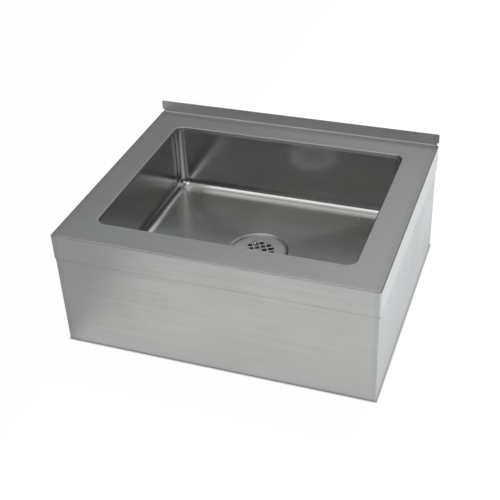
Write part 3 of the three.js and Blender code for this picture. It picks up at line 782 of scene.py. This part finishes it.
def screw_blank():
    """Shank and domed head: an open section, spun round its own axis."""
    skin = bmesh.new()
    shank = SCREW_RADIUS - SCREW_THREAD
    corners = [(0, screw_low.z), (shank, screw_low.z), (shank, HEAD_FOOT),
               (HEAD_RADIUS, HEAD_FOOT), (HEAD_RADIUS, HEAD_FOOT + HEAD_SIDE * HEAD_HEIGHT),
               (HEAD_CROWN * HEAD_RADIUS, screw_high.z), (0, screw_high.z)]
    verts = [skin.verts.new((radius, 0, level)) for radius, level in corners]
    skin.faces.new(verts)
    round_corners(skin, verts[3:4], HEAD_EDGE, steps=3)
    section = round_corners(skin, verts[4:6], DOME_ROUND, steps=6)["verts"][0].link_faces[0]
    outline = [edge for edge in section.edges if any(vert.co.x > TINY for vert in edge.verts)]
    bmesh.ops.delete(skin, geom=[section], context="FACES_ONLY")
    bmesh.ops.delete(skin, geom=[edge for edge in skin.edges if edge not in outline],
                     context="EDGES")
    spin_round(skin, outline, HEAD_STEPS)
    bmesh.ops.remove_doubles(skin, verts=skin.verts, dist=TOUCHING)
    bmesh.ops.recalc_face_normals(skin, faces=skin.faces)
    return skin


def slot_cutter():
    """A bar as deep as the slot, standing out of the head."""
    skin = bmesh.new()
    made = bmesh.ops.create_cube(skin, size=1)["verts"]
    bmesh.ops.scale(skin, vec=(3 * HEAD_RADIUS, SLOT_WIDTH, 2 * SLOT_DEPTH), verts=made)
    bmesh.ops.rotate(skin, verts=made, cent=(0, 0, 0), matrix=Matrix.Rotation(SLOT_TURN, 3, "Z"))
    bmesh.ops.translate(skin, vec=(0, 0, screw_high.z), verts=made)
    return skin


def cut_away(skin, cutter):
    """Takes one closed bmesh out of another with the exact Boolean solver."""
    pair = []
    for part in (skin, cutter):
        mesh = bpy.data.meshes.new("boolean")
        part.to_mesh(mesh)
        part.free()
        pair.append(bpy.data.objects.new("boolean", mesh))
        bpy.context.scene.collection.objects.link(pair[-1])
    boolean = pair[0].modifiers.new("cut", "BOOLEAN")
    boolean.object, boolean.operation, boolean.solver = pair[1], "DIFFERENCE", "EXACT"
    seen = pair[0].evaluated_get(bpy.context.evaluated_depsgraph_get())
    result = bmesh.new()
    result.from_mesh(seen.to_mesh())
    seen.to_mesh_clear()
    for part in pair:
        bpy.data.objects.remove(part)
    return result


for index in (1, 2):
    node = f"strainer_screw_{index}"
    low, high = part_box(node)
    middle = (low + high) / 2
    turn = math.atan2(middle.y, middle.x)
    place = Matrix.Translation((middle.x, middle.y, 0)) @ Matrix.Rotation(turn, 4, "Z")
    screw = cut_away(screw_blank(), slot_cutter())
    break_edges(screw, SCREW_EDGE)
    shank_thread = thread(SCREW_RADIUS - SCREW_THREAD - SCREW_BITE, SCREW_RADIUS, SCREW_PITCH,
                          low.z + FIT, HEAD_FOOT - SHANK_PLAIN)
    for part, name, nodes in ((screw, f"slotted_screw_{index}", [node]),
                              (shank_thread, f"screw_thread_{index}", [])):
        lay_grain(part, TURNED_DOWN)
        bmesh.ops.transform(part, matrix=place, verts=part.verts)
        finish_piece(name, part, "strainer", "screw_steel", nodes)

# %% [markdown]
# Finishes. The sheet is bought with a brushed face, which is fine parallel scratches with broader
# streaks among them. Brushed steel reflects sharply along its grain and spreads the light across it,
# so the shader is anisotropic, and its tangent comes from the grain map. Noise that is stretched a
# hundredfold along the grain gives the scratches. As several finishes use it, it is a node group.

# %% Node helpers
def add_node(tree, kind, **settings):
    """Adds a shader node. A setting named after an input sets its value; others are properties."""
    node = tree.nodes.new(kind)
    for name, value in settings.items():
        if name in node.inputs:
            node.inputs[name].default_value = value
        else:
            setattr(node, name, value)
    return node


def new_group(name, source, outputs):
    """A node group with one vector input and outputs that are plain values."""
    group = bpy.data.node_groups.new(name, "ShaderNodeTree")
    group.interface.new_socket(source, in_out="INPUT", socket_type="NodeSocketVector")
    for label in outputs:
        group.interface.new_socket(label, in_out="OUTPUT", socket_type="NodeSocketFloat")
    inside = group.nodes.new("NodeGroupInput")
    return group, inside.outputs[source], group.nodes.new("NodeGroupOutput").inputs


def noise_at(tree, source, stretch=None, **settings):
    """Noise at a place; stretch gives its strokes per metre in each direction."""
    if stretch:
        stretched = add_node(tree, "ShaderNodeVectorMath", operation="MULTIPLY")
        stretched.inputs[1].default_value = stretch
        tree.links.new(source, stretched.inputs[0])
        source = stretched.outputs[0]
    noise = add_node(tree, "ShaderNodeTexNoise", **settings)
    tree.links.new(source, noise.inputs["Vector"])
    return noise.outputs["Fac"]


# %% Grain group
SCRATCHES = (18, 2400, 2400)    # strokes per metre along the grain and across it
STREAKS = (3.5, 150, 150)


def grain_group():
    group, grain_map, outside = new_group("brushed grain", "Map", ("Scratches", "Streaks"))
    look = {"noise_dimensions": "2D", "Scale": 1.0, "Roughness": 0.6}
    scratches = noise_at(group, grain_map, SCRATCHES, Detail=3.0, **look)
    streaks = noise_at(group, grain_map, STREAKS, Detail=4.0, **look)
    group.links.new(scratches, outside["Scratches"])
    group.links.new(streaks, outside["Streaks"])
    return group


GRAIN = grain_group()
print("group", GRAIN.name, "has", len(GRAIN.nodes), "nodes")

# %% [markdown]
# No sheet stays perfectly clean or flat. Handling leaves dull patches, which are soft blotches in the
# roughness, and forming leaves the panels very slightly wavy, which only shows as a slow drift in
# their reflections. Both follow the piece's own place in space, so they use Object coordinates.

# %% Handling group
MARKS_FROM = 0.58               # noise above this becomes a mark, and is a full one at the next
MARKS_FULL = 0.78


def smooth_step(tree, value, start, end, low, high):
    """Goes softly from low at start to high at end; start is the smaller."""
    ramp = add_node(tree, "ShaderNodeMapRange", interpolation_type="SMOOTHSTEP")
    for label, number in (("From Min", start), ("From Max", end), ("To Min", low), ("To Max", high)):
        ramp.inputs[label].default_value = number
    tree.links.new(value, ramp.inputs["Value"])
    return ramp.outputs["Result"]


def handling_group():
    group, place, outside = new_group("handling", "Place", ("Dull", "Marks", "Wave"))
    dull = noise_at(group, place, Scale=7.0, Detail=5.0, Roughness=0.62)
    marks = noise_at(group, place, Scale=34.0, Detail=6.0, Roughness=0.7, Distortion=1.2)
    wave = noise_at(group, place, Scale=7.0, Detail=1.0, Roughness=0.35)
    group.links.new(dull, outside["Dull"])
    group.links.new(smooth_step(group, marks, MARKS_FROM, MARKS_FULL, 0, 1), outside["Marks"])
    group.links.new(wave, outside["Wave"])
    return group


HANDLING = handling_group()
print("group", HANDLING.name, "has", len(HANDLING.nodes), "nodes")

# %% [markdown]
# Two marks show on the cabinet. A painted shade darkens the step where the deck's flange ends over
# the skirt, most of all at the corners. Beside each corner the weld has been ground flush, which
# leaves a duller strip with marks that run up and down. Both are found from the place alone.

# %% Wear and painted shade group
# painted shade in the seam under the flange, deeper and longer near the corners
SEAM_REACH = 3.6 * MM           # the seam's shade ends this far below the flange, and is full
SEAM_FULL = 1.4 * MM            # from here up
SEAM_DARK = 0.66                # what is left of the colour in it
CORNER_REACH = 7 * MM
CORNER_FULL = 2 * MM
CORNER_DARK = 0.45
GROUND_WIDTH = 10 * MM
GROUND_FADE = 3 * MM
GROUND_WANDER = 6 * MM          # how far the marks draw the strip's edge in and out
GROUND_MARKS = (700, 700, 12)   # strokes per metre
GROUND_TONE = 0.93


def maths(tree, operation, *values):
    """Math nodes on sockets or plain numbers, two at a time when there are more."""
    *before, last = values
    if len(before) > 1:
        before = [maths(tree, operation, *before)]
    node = add_node(tree, "ShaderNodeMath", operation=operation)
    for socket, value in zip(node.inputs, [*before, last]):
        if isinstance(value, (int, float)):
            socket.default_value = value
        else:
            tree.links.new(value, socket)
    return node.outputs[0]


def axes_of(tree, place):
    split = add_node(tree, "ShaderNodeSeparateXYZ")
    tree.links.new(place, split.inputs[0])
    return split.outputs


def seam_shade(group, across, height):
    """Shade in the step under the flange, darker towards the corners."""
    under = maths(group, "LESS_THAN", height, FLANGE_FOOT)
    seam = smooth_step(group, height, FLANGE_FOOT - SEAM_REACH, FLANGE_FOOT - SEAM_FULL, 0, 1)
    near = smooth_step(group, across, PANEL_X - CORNER_REACH, PANEL_X, 0, 1)
    corner = smooth_step(group, height, FLANGE_FOOT - CORNER_REACH, FLANGE_FOOT - CORNER_FULL, 0, 1)
    return maths(group, "MAXIMUM", maths(group, "MULTIPLY", seam, under, 1 - SEAM_DARK),
                 maths(group, "MULTIPLY", corner, under, near, 1 - CORNER_DARK))


def ground_shade(group, place, across):
    """The ground strip beside each corner, with an uneven edge."""
    marks = noise_at(group, place, GROUND_MARKS, Scale=1.0, Detail=3.0)
    uneven = maths(group, "MULTIPLY", maths(group, "SUBTRACT", marks, 0.5), GROUND_WANDER)
    edge = PANEL_X - GROUND_WIDTH
    strip = smooth_step(group, maths(group, "ADD", across, uneven),
                        edge - GROUND_FADE, edge + GROUND_FADE, 0, 1)
    return maths(group, "MULTIPLY", strip, 1 - GROUND_TONE)


def wear_and_painted_shade_group():
    group, place, outside = new_group("wear_and_painted_shade", "Place", ("Tone",))
    axes = axes_of(group, place)
    across = maths(group, "ABSOLUTE", axes["X"])
    shade = maths(group, "MAXIMUM", seam_shade(group, across, axes["Z"]),
                  ground_shade(group, place, across))
    group.links.new(maths(group, "SUBTRACT", 1, shade), outside["Tone"])
    return group


WEAR_AND_PAINTED_SHADE = wear_and_painted_shade_group()
print("group", WEAR_AND_PAINTED_SHADE.name, "has", len(WEAR_AND_PAINTED_SHADE.nodes), "nodes")

# %% [markdown]
# The brushed steel itself: its colour lightens and darkens a little with the streaks, its roughness
# follows the streaks and the dull patches, and its bump adds up the scratches and the slow wave.
# Anisotropy is one value all over a finish, so it is set on the shader's own socket.

# %% Helpers for materials
NOISE_LOW = 0.3                 # noise seldom leaves this range, so it is spread out to 0 to 1
NOISE_HIGH = 0.7


def new_material(name):
    """A material with its tree, its shader and the coordinates of the piece."""
    material = bpy.data.materials.new(name)
    material.use_nodes = True
    tree = material.node_tree
    place = add_node(tree, "ShaderNodeTexCoord").outputs["Object"]
    return material, tree, tree.nodes["Principled BSDF"], place


def use_group(tree, group, source):
    """Places a node group and feeds its one input."""
    node = add_node(tree, "ShaderNodeGroup", node_tree=group)
    tree.links.new(source, node.inputs[0])
    return node.outputs


def mixed(tree, low, high, factor):
    mix = add_node(tree, "ShaderNodeMix", data_type="RGBA")
    mix.inputs["A"].default_value = (*low, 1)
    mix.inputs["B"].default_value = (*high, 1)
    tree.links.new(factor, mix.inputs["Factor"])
    return mix.outputs["Result"]


def scaled(tree, value, low, high):
    """Maps the usual range of a noise onto a range of its own."""
    ranged = add_node(tree, "ShaderNodeMapRange")
    for label, number in (("From Min", NOISE_LOW), ("From Max", NOISE_HIGH),
                          ("To Min", low), ("To Max", high)):
        ranged.inputs[label].default_value = number
    tree.links.new(value, ranged.inputs["Value"])
    return ranged.outputs["Result"]


def raise_relief(tree, surface, height, unit):
    """Bump of a height that is given in a unit."""
    bump = add_node(tree, "ShaderNodeBump", Strength=1.0, Distance=unit)
    tree.links.new(height, bump.inputs["Height"])
    tree.links.new(bump.outputs["Normal"], surface.inputs["Normal"])


# %% Brushed steel
RELIEF_UNIT = 0.01 * MM
DULL_SPREAD = (-0.02, 0.03)     # what dull patches add to the roughness
MARK_SPREAD = (0, 0.03)         # what marks add to it
ACROSS_GRAIN = 0.25             # of a turn: the shader spreads light across the tangent
RUBBED_FULL = FLOOR_LEVEL + 1 * MM      # buckets and mops dull the floor up to here
RUBBED_END = FLOOR_LEVEL + 8 * MM


# the colour times the group's tone: ground strips by the corners, and painted shade under the flange
def colour_with_wear_and_painted_shade(tree, colour, place):
    toned = add_node(tree, "ShaderNodeVectorMath", operation="SCALE")
    tree.links.new(colour, toned.inputs[0])
    tree.links.new(use_group(tree, WEAR_AND_PAINTED_SHADE, place)["Tone"], toned.inputs["Scale"])
    return toned.outputs[0]


def brush_along(tree, surface, anisotropy):
    """Turns the shader's anisotropy to the grain map."""
    surface.inputs["Anisotropic"].default_value = anisotropy
    surface.inputs["Anisotropic Rotation"].default_value = ACROSS_GRAIN
    tangent = add_node(tree, "ShaderNodeTangent", direction_type="UV_MAP", uv_map="grain")
    tree.links.new(tangent.outputs["Tangent"], surface.inputs["Tangent"])


def brushed_steel(name, dark, light, smooth, rough, anisotropy=0, scratch=0.2, wave=6,
                  wear_and_painted_shade=False, floor_wear=0):
    """Colours are linear; scratch and wave are bump heights, in hundredths of a millimetre."""
    material, tree, surface, place = new_material(name)
    surface.inputs["Metallic"].default_value = 1
    brush_along(tree, surface, anisotropy)
    grain_map = add_node(tree, "ShaderNodeUVMap", uv_map="grain")
    grain = use_group(tree, GRAIN, grain_map.outputs["UV"])
    handling = use_group(tree, HANDLING, place)
    colour = mixed(tree, dark, light, grain["Streaks"])
    # ground strips by the corners and painted shade under the flange darken the colour
    if wear_and_painted_shade:
        colour = colour_with_wear_and_painted_shade(tree, colour, place)
    tree.links.new(colour, surface.inputs["Base Color"])
    layers = [scaled(tree, grain["Streaks"], smooth, rough),
              scaled(tree, handling["Dull"], *DULL_SPREAD),
              scaled(tree, handling["Marks"], *MARK_SPREAD)]
    if floor_wear:
        height = axes_of(tree, place)["Z"]
        layers.append(smooth_step(tree, height, RUBBED_FULL, RUBBED_END, floor_wear, 0))
    tree.links.new(maths(tree, "ADD", *layers), surface.inputs["Roughness"])
    relief = maths(tree, "ADD", scaled(tree, grain["Scratches"], 0, scratch),
                   scaled(tree, handling["Wave"], 0, wave))
    raise_relief(tree, surface, relief, RELIEF_UNIT)
    print(f"{name}: roughness {smooth:.2f} to {rough:.2f}")
    return material


# %% [markdown]
# One maker for all the metals keeps them related, and each finish is then a line of values. The
# cabinet is the most strongly brushed. The bowl is polished nearly smooth and pressing has made it
# the most wavy, which is what bends its reflections. The casting and the strainer are paler.

# %% Metal finishes
cabinet_steel = brushed_steel("cabinet steel", dark=(0.54, 0.55, 0.535), light=(0.64, 0.65, 0.635),
                              smooth=0.37, rough=0.45, anisotropy=0.8, wear_and_painted_shade=True)
bowl_steel = brushed_steel("bowl steel", dark=(0.59, 0.595, 0.58), light=(0.61, 0.615, 0.60),
                           smooth=0.16, rough=0.18, scratch=0.015, wave=36, floor_wear=0.07)
cast_steel = brushed_steel("cast steel", dark=(0.66, 0.665, 0.68), light=(0.72, 0.725, 0.74),
                           smooth=0.34, rough=0.42)
strainer_steel = brushed_steel("strainer steel", dark=(0.80, 0.80, 0.82), light=(0.86, 0.86, 0.88),
                               smooth=0.28, rough=0.36)
screw_steel = brushed_steel("screw steel", dark=(0.70, 0.70, 0.69), light=(0.78, 0.78, 0.77),
                            smooth=0.10, rough=0.16)
nut_brass = brushed_steel("brass", dark=(0.55, 0.38, 0.16), light=(0.66, 0.48, 0.22),
                          smooth=0.30, rough=0.42)

# %% [markdown]
# The gasket is black rubber and the washer red-brown fibre. Neither is a metal, so they have a maker
# of their own: flecks in the colour, a dull skin, and a fine pitted relief from the same flecks. A
# plain dark colour would do under the bowl, but both show when the drain is taken out.

# %% Rubber and fibre
def soft_part(name, dark, light, smooth, rough, fleck, relief):
    """Fleck is the size of the flecks, and relief the depth of the pits, both in metres."""
    material, tree, surface, place = new_material(name)
    flecks = noise_at(tree, place, Scale=1 / fleck, Detail=4.0, Roughness=0.6)
    dull = use_group(tree, HANDLING, place)["Dull"]
    tree.links.new(mixed(tree, dark, light, flecks), surface.inputs["Base Color"])
    tree.links.new(scaled(tree, dull, smooth, rough), surface.inputs["Roughness"])
    raise_relief(tree, surface, flecks, relief)
    print(f"{name}: flecks of {fleck / MM:.1f} mm")
    return material


gasket_rubber = soft_part("gasket rubber", dark=(0.012, 0.012, 0.013), light=(0.03, 0.03, 0.03),
                          smooth=0.50, rough=0.68, fleck=1.2 * MM, relief=0.03 * MM)
washer_fibre = soft_part("washer fibre", dark=(0.22, 0.07, 0.04), light=(0.34, 0.13, 0.08),
                         smooth=0.60, rough=0.80, fleck=0.6 * MM, relief=0.05 * MM)

# %% [markdown]
# Every piece already names the slot of the record that its finish comes from, so the finishes are
# handed out by slot. The strainer plate shares its slot with the casting, but it is stamped from
# sheet and polished brighter in use, so it is dressed last, by itself.

# %% Dressing the pieces
FINISHES = {
    "cabinet_steel": cabinet_steel,
    "bowl_steel": bowl_steel,
    "drain_steel": cast_steel,
    "screw_steel": screw_steel,
    "nut_brass": nut_brass,
    "gasket_rubber": gasket_rubber,
    "washer_fibre": washer_fibre,
}


def dress(piece, material):
    piece.data.materials.clear()
    piece.data.materials.append(material)
    print(f"{piece.name}: {material.name}")


for piece in bpy.data.objects:
    if piece.get("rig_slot") in FINISHES:
        dress(piece, FINISHES[piece["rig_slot"]])
dress(strainer_disc, strainer_steel)

# %% [markdown]
# The floor is a plain pale studio floor. The photograph shows it as pure white, so for the camera
# most of it glows at strength 1, and the rest is a matt floor that keeps the shadow. What the metal
# mirrors glows too, but that glow is painted light and differs by place: dimmer to the left of the
# sink and brighter and cooler to the right, which gives each side of the cabinet its own grey, and
# a painted shade darkens it near the sink. A thin painted contact shadow darkens the floor where
# the sink meets it, for the camera too. Under the sink no light gets in, so there it doesn't glow,
# and holes stay dark.

# %% Floor
FLOOR_SIZE = 40
FLOOR_COLOUR = (0.9, 0.9, 0.9, 1)
GLOW_SEEN = 0.985               # share of the glow in what the camera sees
GLOW_MIRRORED = 0.9             # and in what metal mirrors
SHADE_REACH = 0.2               # how far out a painted shade darkens the mirrored floor near the sink
SHADE_NEAR = 0.86
CONTACT_SHADOW_REACH = 0.005           # width of the painted contact shadow where the sink meets the floor
CONTACT_SHADOW_TONE = 0.4
LEFT_TONE = 0.62                # painted brightness of the mirrored floor on each side
FRONT_TONE = 1.06
RIGHT_TONE = 1.40
RIGHT_TINT = (0.965, 1.0, 1.03)
SIDE_FADE = 0.03                # half the width of the change from one side to the next


def off_the_sink(tree, axes):
    """How far a place on the floor is from the foot of the skirts, or 0 under the sink."""
    parts = []
    for axis, half in (("X", PANEL_X), ("Y", PANEL_Y)):
        beyond = maths(tree, "SUBTRACT", maths(tree, "ABSOLUTE", axes[axis]), half)
        beyond = maths(tree, "MAXIMUM", beyond, 0)
        parts.append(maths(tree, "MULTIPLY", beyond, beyond))
    return maths(tree, "SQRT", maths(tree, "ADD", *parts))


def mirrored_tone(tree, axes, away, at_right):
    """Painted brightness of the floor as the metal mirrors it."""
    near = smooth_step(tree, away, 0, SHADE_REACH, SHADE_NEAR, 1)
    side = smooth_step(tree, axes["X"], -PANEL_X - SIDE_FADE, -PANEL_X + SIDE_FADE,
                       LEFT_TONE, FRONT_TONE)
    extra = maths(tree, "MULTIPLY", at_right, RIGHT_TONE - FRONT_TONE)
    return maths(tree, "MULTIPLY", near, maths(tree, "ADD", side, extra))


def floor_material():
    material, tree, unused_shader, place = new_material("pale floor")
    tree.nodes.remove(unused_shader)
    matt = add_node(tree, "ShaderNodeBsdfDiffuse", Color=FLOOR_COLOUR)
    glow = add_node(tree, "ShaderNodeEmission")
    rays = add_node(tree, "ShaderNodeLightPath").outputs
    seen = rays["Is Camera Ray"]
    mirrored = maths(tree, "MAXIMUM", rays["Is Glossy Ray"], rays["Is Transmission Ray"])
    axes = axes_of(tree, place)
    away = off_the_sink(tree, axes)
    at_right = smooth_step(tree, axes["X"], PANEL_X - SIDE_FADE, PANEL_X + SIDE_FADE, 0, 1)
    tone = maths(tree, "MAXIMUM", seen, mirrored_tone(tree, axes, away, at_right))
    # painted contact shadow where the sink meets the floor, for the camera and in the metal
    painted_contact_shadow = smooth_step(tree, away, 0, CONTACT_SHADOW_REACH, CONTACT_SHADOW_TONE, 1)
    tree.links.new(maths(tree, "MULTIPLY", painted_contact_shadow, tone), glow.inputs["Strength"])
    tint = mixed(tree, (1, 1, 1), RIGHT_TINT, maths(tree, "MULTIPLY", mirrored, at_right))
    tree.links.new(tint, glow.inputs["Color"])
    share = maths(tree, "MAXIMUM", maths(tree, "MULTIPLY", seen, GLOW_SEEN),
                  maths(tree, "MULTIPLY", mirrored, GLOW_MIRRORED))
    blend = add_node(tree, "ShaderNodeMixShader")
    open_floor = maths(tree, "GREATER_THAN", away, 0)
    tree.links.new(maths(tree, "MULTIPLY", share, open_floor), blend.inputs["Fac"])
    tree.links.new(matt.outputs[0], blend.inputs[1])
    tree.links.new(glow.outputs[0], blend.inputs[2])
    tree.links.new(blend.outputs[0], tree.nodes["Material Output"].inputs["Surface"])
    return material


bpy.ops.mesh.primitive_plane_add(size=FLOOR_SIZE, location=(0, 0, 0))
floor = bpy.context.object
floor.name = "studio_floor"
floor.data.materials.append(floor_material())
print(f"floor {FLOOR_SIZE} m square, {2 * PANEL_X:.3f} x {2 * PANEL_Y:.3f} m of it under the sink")

# %% [markdown]
# Metal shows what is round it, so the light is chosen by what the sink mirrors. The studio is dim,
# with soft round patches of light on its walls: each was placed in the direction that one part of
# the sink mirrors, such as the deck, a cove or a corner of the bowl. An even white room would light
# a matt object as well, but it would make all the steel one pale grey. Two softboxes, a broad one
# overhead and a faint one in front, add the light that makes the shadow. The wall that the camera
# itself sees past the floor is plain white.

# %% Walls of the studio
WARM_GLOWS = (                  # azimuth, elevation, tightness, radiance
    (356, 57, 30, 1.25),
    (200, 6, 25, 0.22),
    (350, 5, 25, 0.60),
    (119, 33, 27, 0.97),
    (205, 50, 60, 1.05),
    (165, 46, 60, 1.55),
)
COOL_GLOWS = (
    (320, 42, 45, 0.50),
    (18, 40, 35, 0.80),
    (45, 10, 25, 0.45),
    (95, 10, 30, 0.45),
)
WHITE = (1, 1, 1, 1)
COOL = (0.93, 0.99, 1.05, 1)


def direction_to(azimuth, elevation):
    """Azimuth in degrees, clockwise from the wall side (+Y) as seen from above."""
    turn, rise = math.radians(azimuth), math.radians(elevation)
    return (math.cos(rise) * math.sin(turn), math.cos(rise) * math.cos(turn), math.sin(rise))


def wall_glow(tree, look, azimuth, elevation, tightness, radiance):
    """A soft round patch of light on the wall; it fades as e^(tightness * (cos - 1))."""
    nearness = add_node(tree, "ShaderNodeVectorMath", operation="DOT_PRODUCT")
    tree.links.new(look, nearness.inputs[0])
    nearness.inputs[1].default_value = direction_to(azimuth, elevation)
    fade = maths(tree, "MULTIPLY", maths(tree, "SUBTRACT", nearness.outputs["Value"], 1), tightness)
    return maths(tree, "MULTIPLY", maths(tree, "EXPONENT", fade), radiance)


def glowing_wall(tree, look, colour, glows):
    wall = add_node(tree, "ShaderNodeBackground", Color=colour)
    patches = [wall_glow(tree, look, *glow) for glow in glows]
    tree.links.new(maths(tree, "ADD", *patches), wall.inputs["Strength"])
    return wall.outputs[0]


def studio_walls():
    world = bpy.data.worlds.new("studio")
    world.use_nodes = True
    tree = world.node_tree
    tree.nodes.remove(tree.nodes["Background"])
    look = add_node(tree, "ShaderNodeTexCoord").outputs["Generated"]
    both = add_node(tree, "ShaderNodeAddShader")
    tree.links.new(glowing_wall(tree, look, WHITE, WARM_GLOWS), both.inputs[0])
    tree.links.new(glowing_wall(tree, look, COOL, COOL_GLOWS), both.inputs[1])
    white = add_node(tree, "ShaderNodeBackground", Color=WHITE, Strength=1.0)
    wall = add_node(tree, "ShaderNodeMixShader")
    rays = add_node(tree, "ShaderNodeLightPath").outputs
    tree.links.new(rays["Is Camera Ray"], wall.inputs["Fac"])
    tree.links.new(both.outputs[0], wall.inputs[1])
    tree.links.new(white.outputs[0], wall.inputs[2])
    tree.links.new(wall.outputs[0], tree.nodes["World Output"].inputs["Surface"])
    return world


bpy.context.scene.world = studio_walls()
print(f"{len(WARM_GLOWS) + len(COOL_GLOWS)} patches of light on the studio walls")

# %% Softboxes
def softbox(name, place, aim, size, radiance):
    """Radiance is the brightness that a mirror would show."""
    light = bpy.data.lights.new(name, "AREA")
    light.shape = "RECTANGLE"
    light.size, light.size_y = size
    light.energy = radiance * math.pi * size[0] * size[1]
    lamp = bpy.data.objects.new(name, light)
    bpy.context.scene.collection.objects.link(lamp)
    lamp.location = place
    lamp.rotation_euler = (Vector(aim) - Vector(place)).to_track_quat("-Z", "Y").to_euler()
    lamp.visible_camera = False
    print(f"softbox {name}: {light.energy:.2f} W")


softbox("overhead", place=(-0.40, -0.45, 1.5), aim=(-0.40, -0.45, 0), size=(1.6, 1.2), radiance=0.85)
softbox("front", place=(0, -2.2, 1.3), aim=(0, 0, 0.15), size=(1.8, 0.6), radiance=0.07)

# %% [markdown]
# The camera stands where the photograph was taken from. Its place, aim, roll and lens were fitted to
# the corners of the box.

# %% Camera
CAMERA_AT = Vector((0.57137, -1.54403, 1.24870))
LOOKS_AT = Vector((-0.01158, -0.01792, 0.11187))
CAMERA_ROLL = math.radians(-2.742)
LENS_MM = 69.30
FILM_MM = 36
lens = bpy.data.cameras.new("camera")
lens.lens = LENS_MM
lens.sensor_width = FILM_MM
camera = bpy.data.objects.new("camera", lens)
bpy.context.scene.collection.objects.link(camera)
bpy.context.scene.camera = camera
camera.location = CAMERA_AT
camera.rotation_mode = "QUATERNION"
camera.rotation_quaternion = ((LOOKS_AT - CAMERA_AT).to_track_quat("-Z", "Y")
                              @ Matrix.Rotation(CAMERA_ROLL, 3, "Z").to_quaternion())
bpy.context.scene.view_settings.view_transform = "Standard"
print(f"camera {(LOOKS_AT - CAMERA_AT).length:.2f} m from the sink, {LENS_MM:.1f} mm lens")
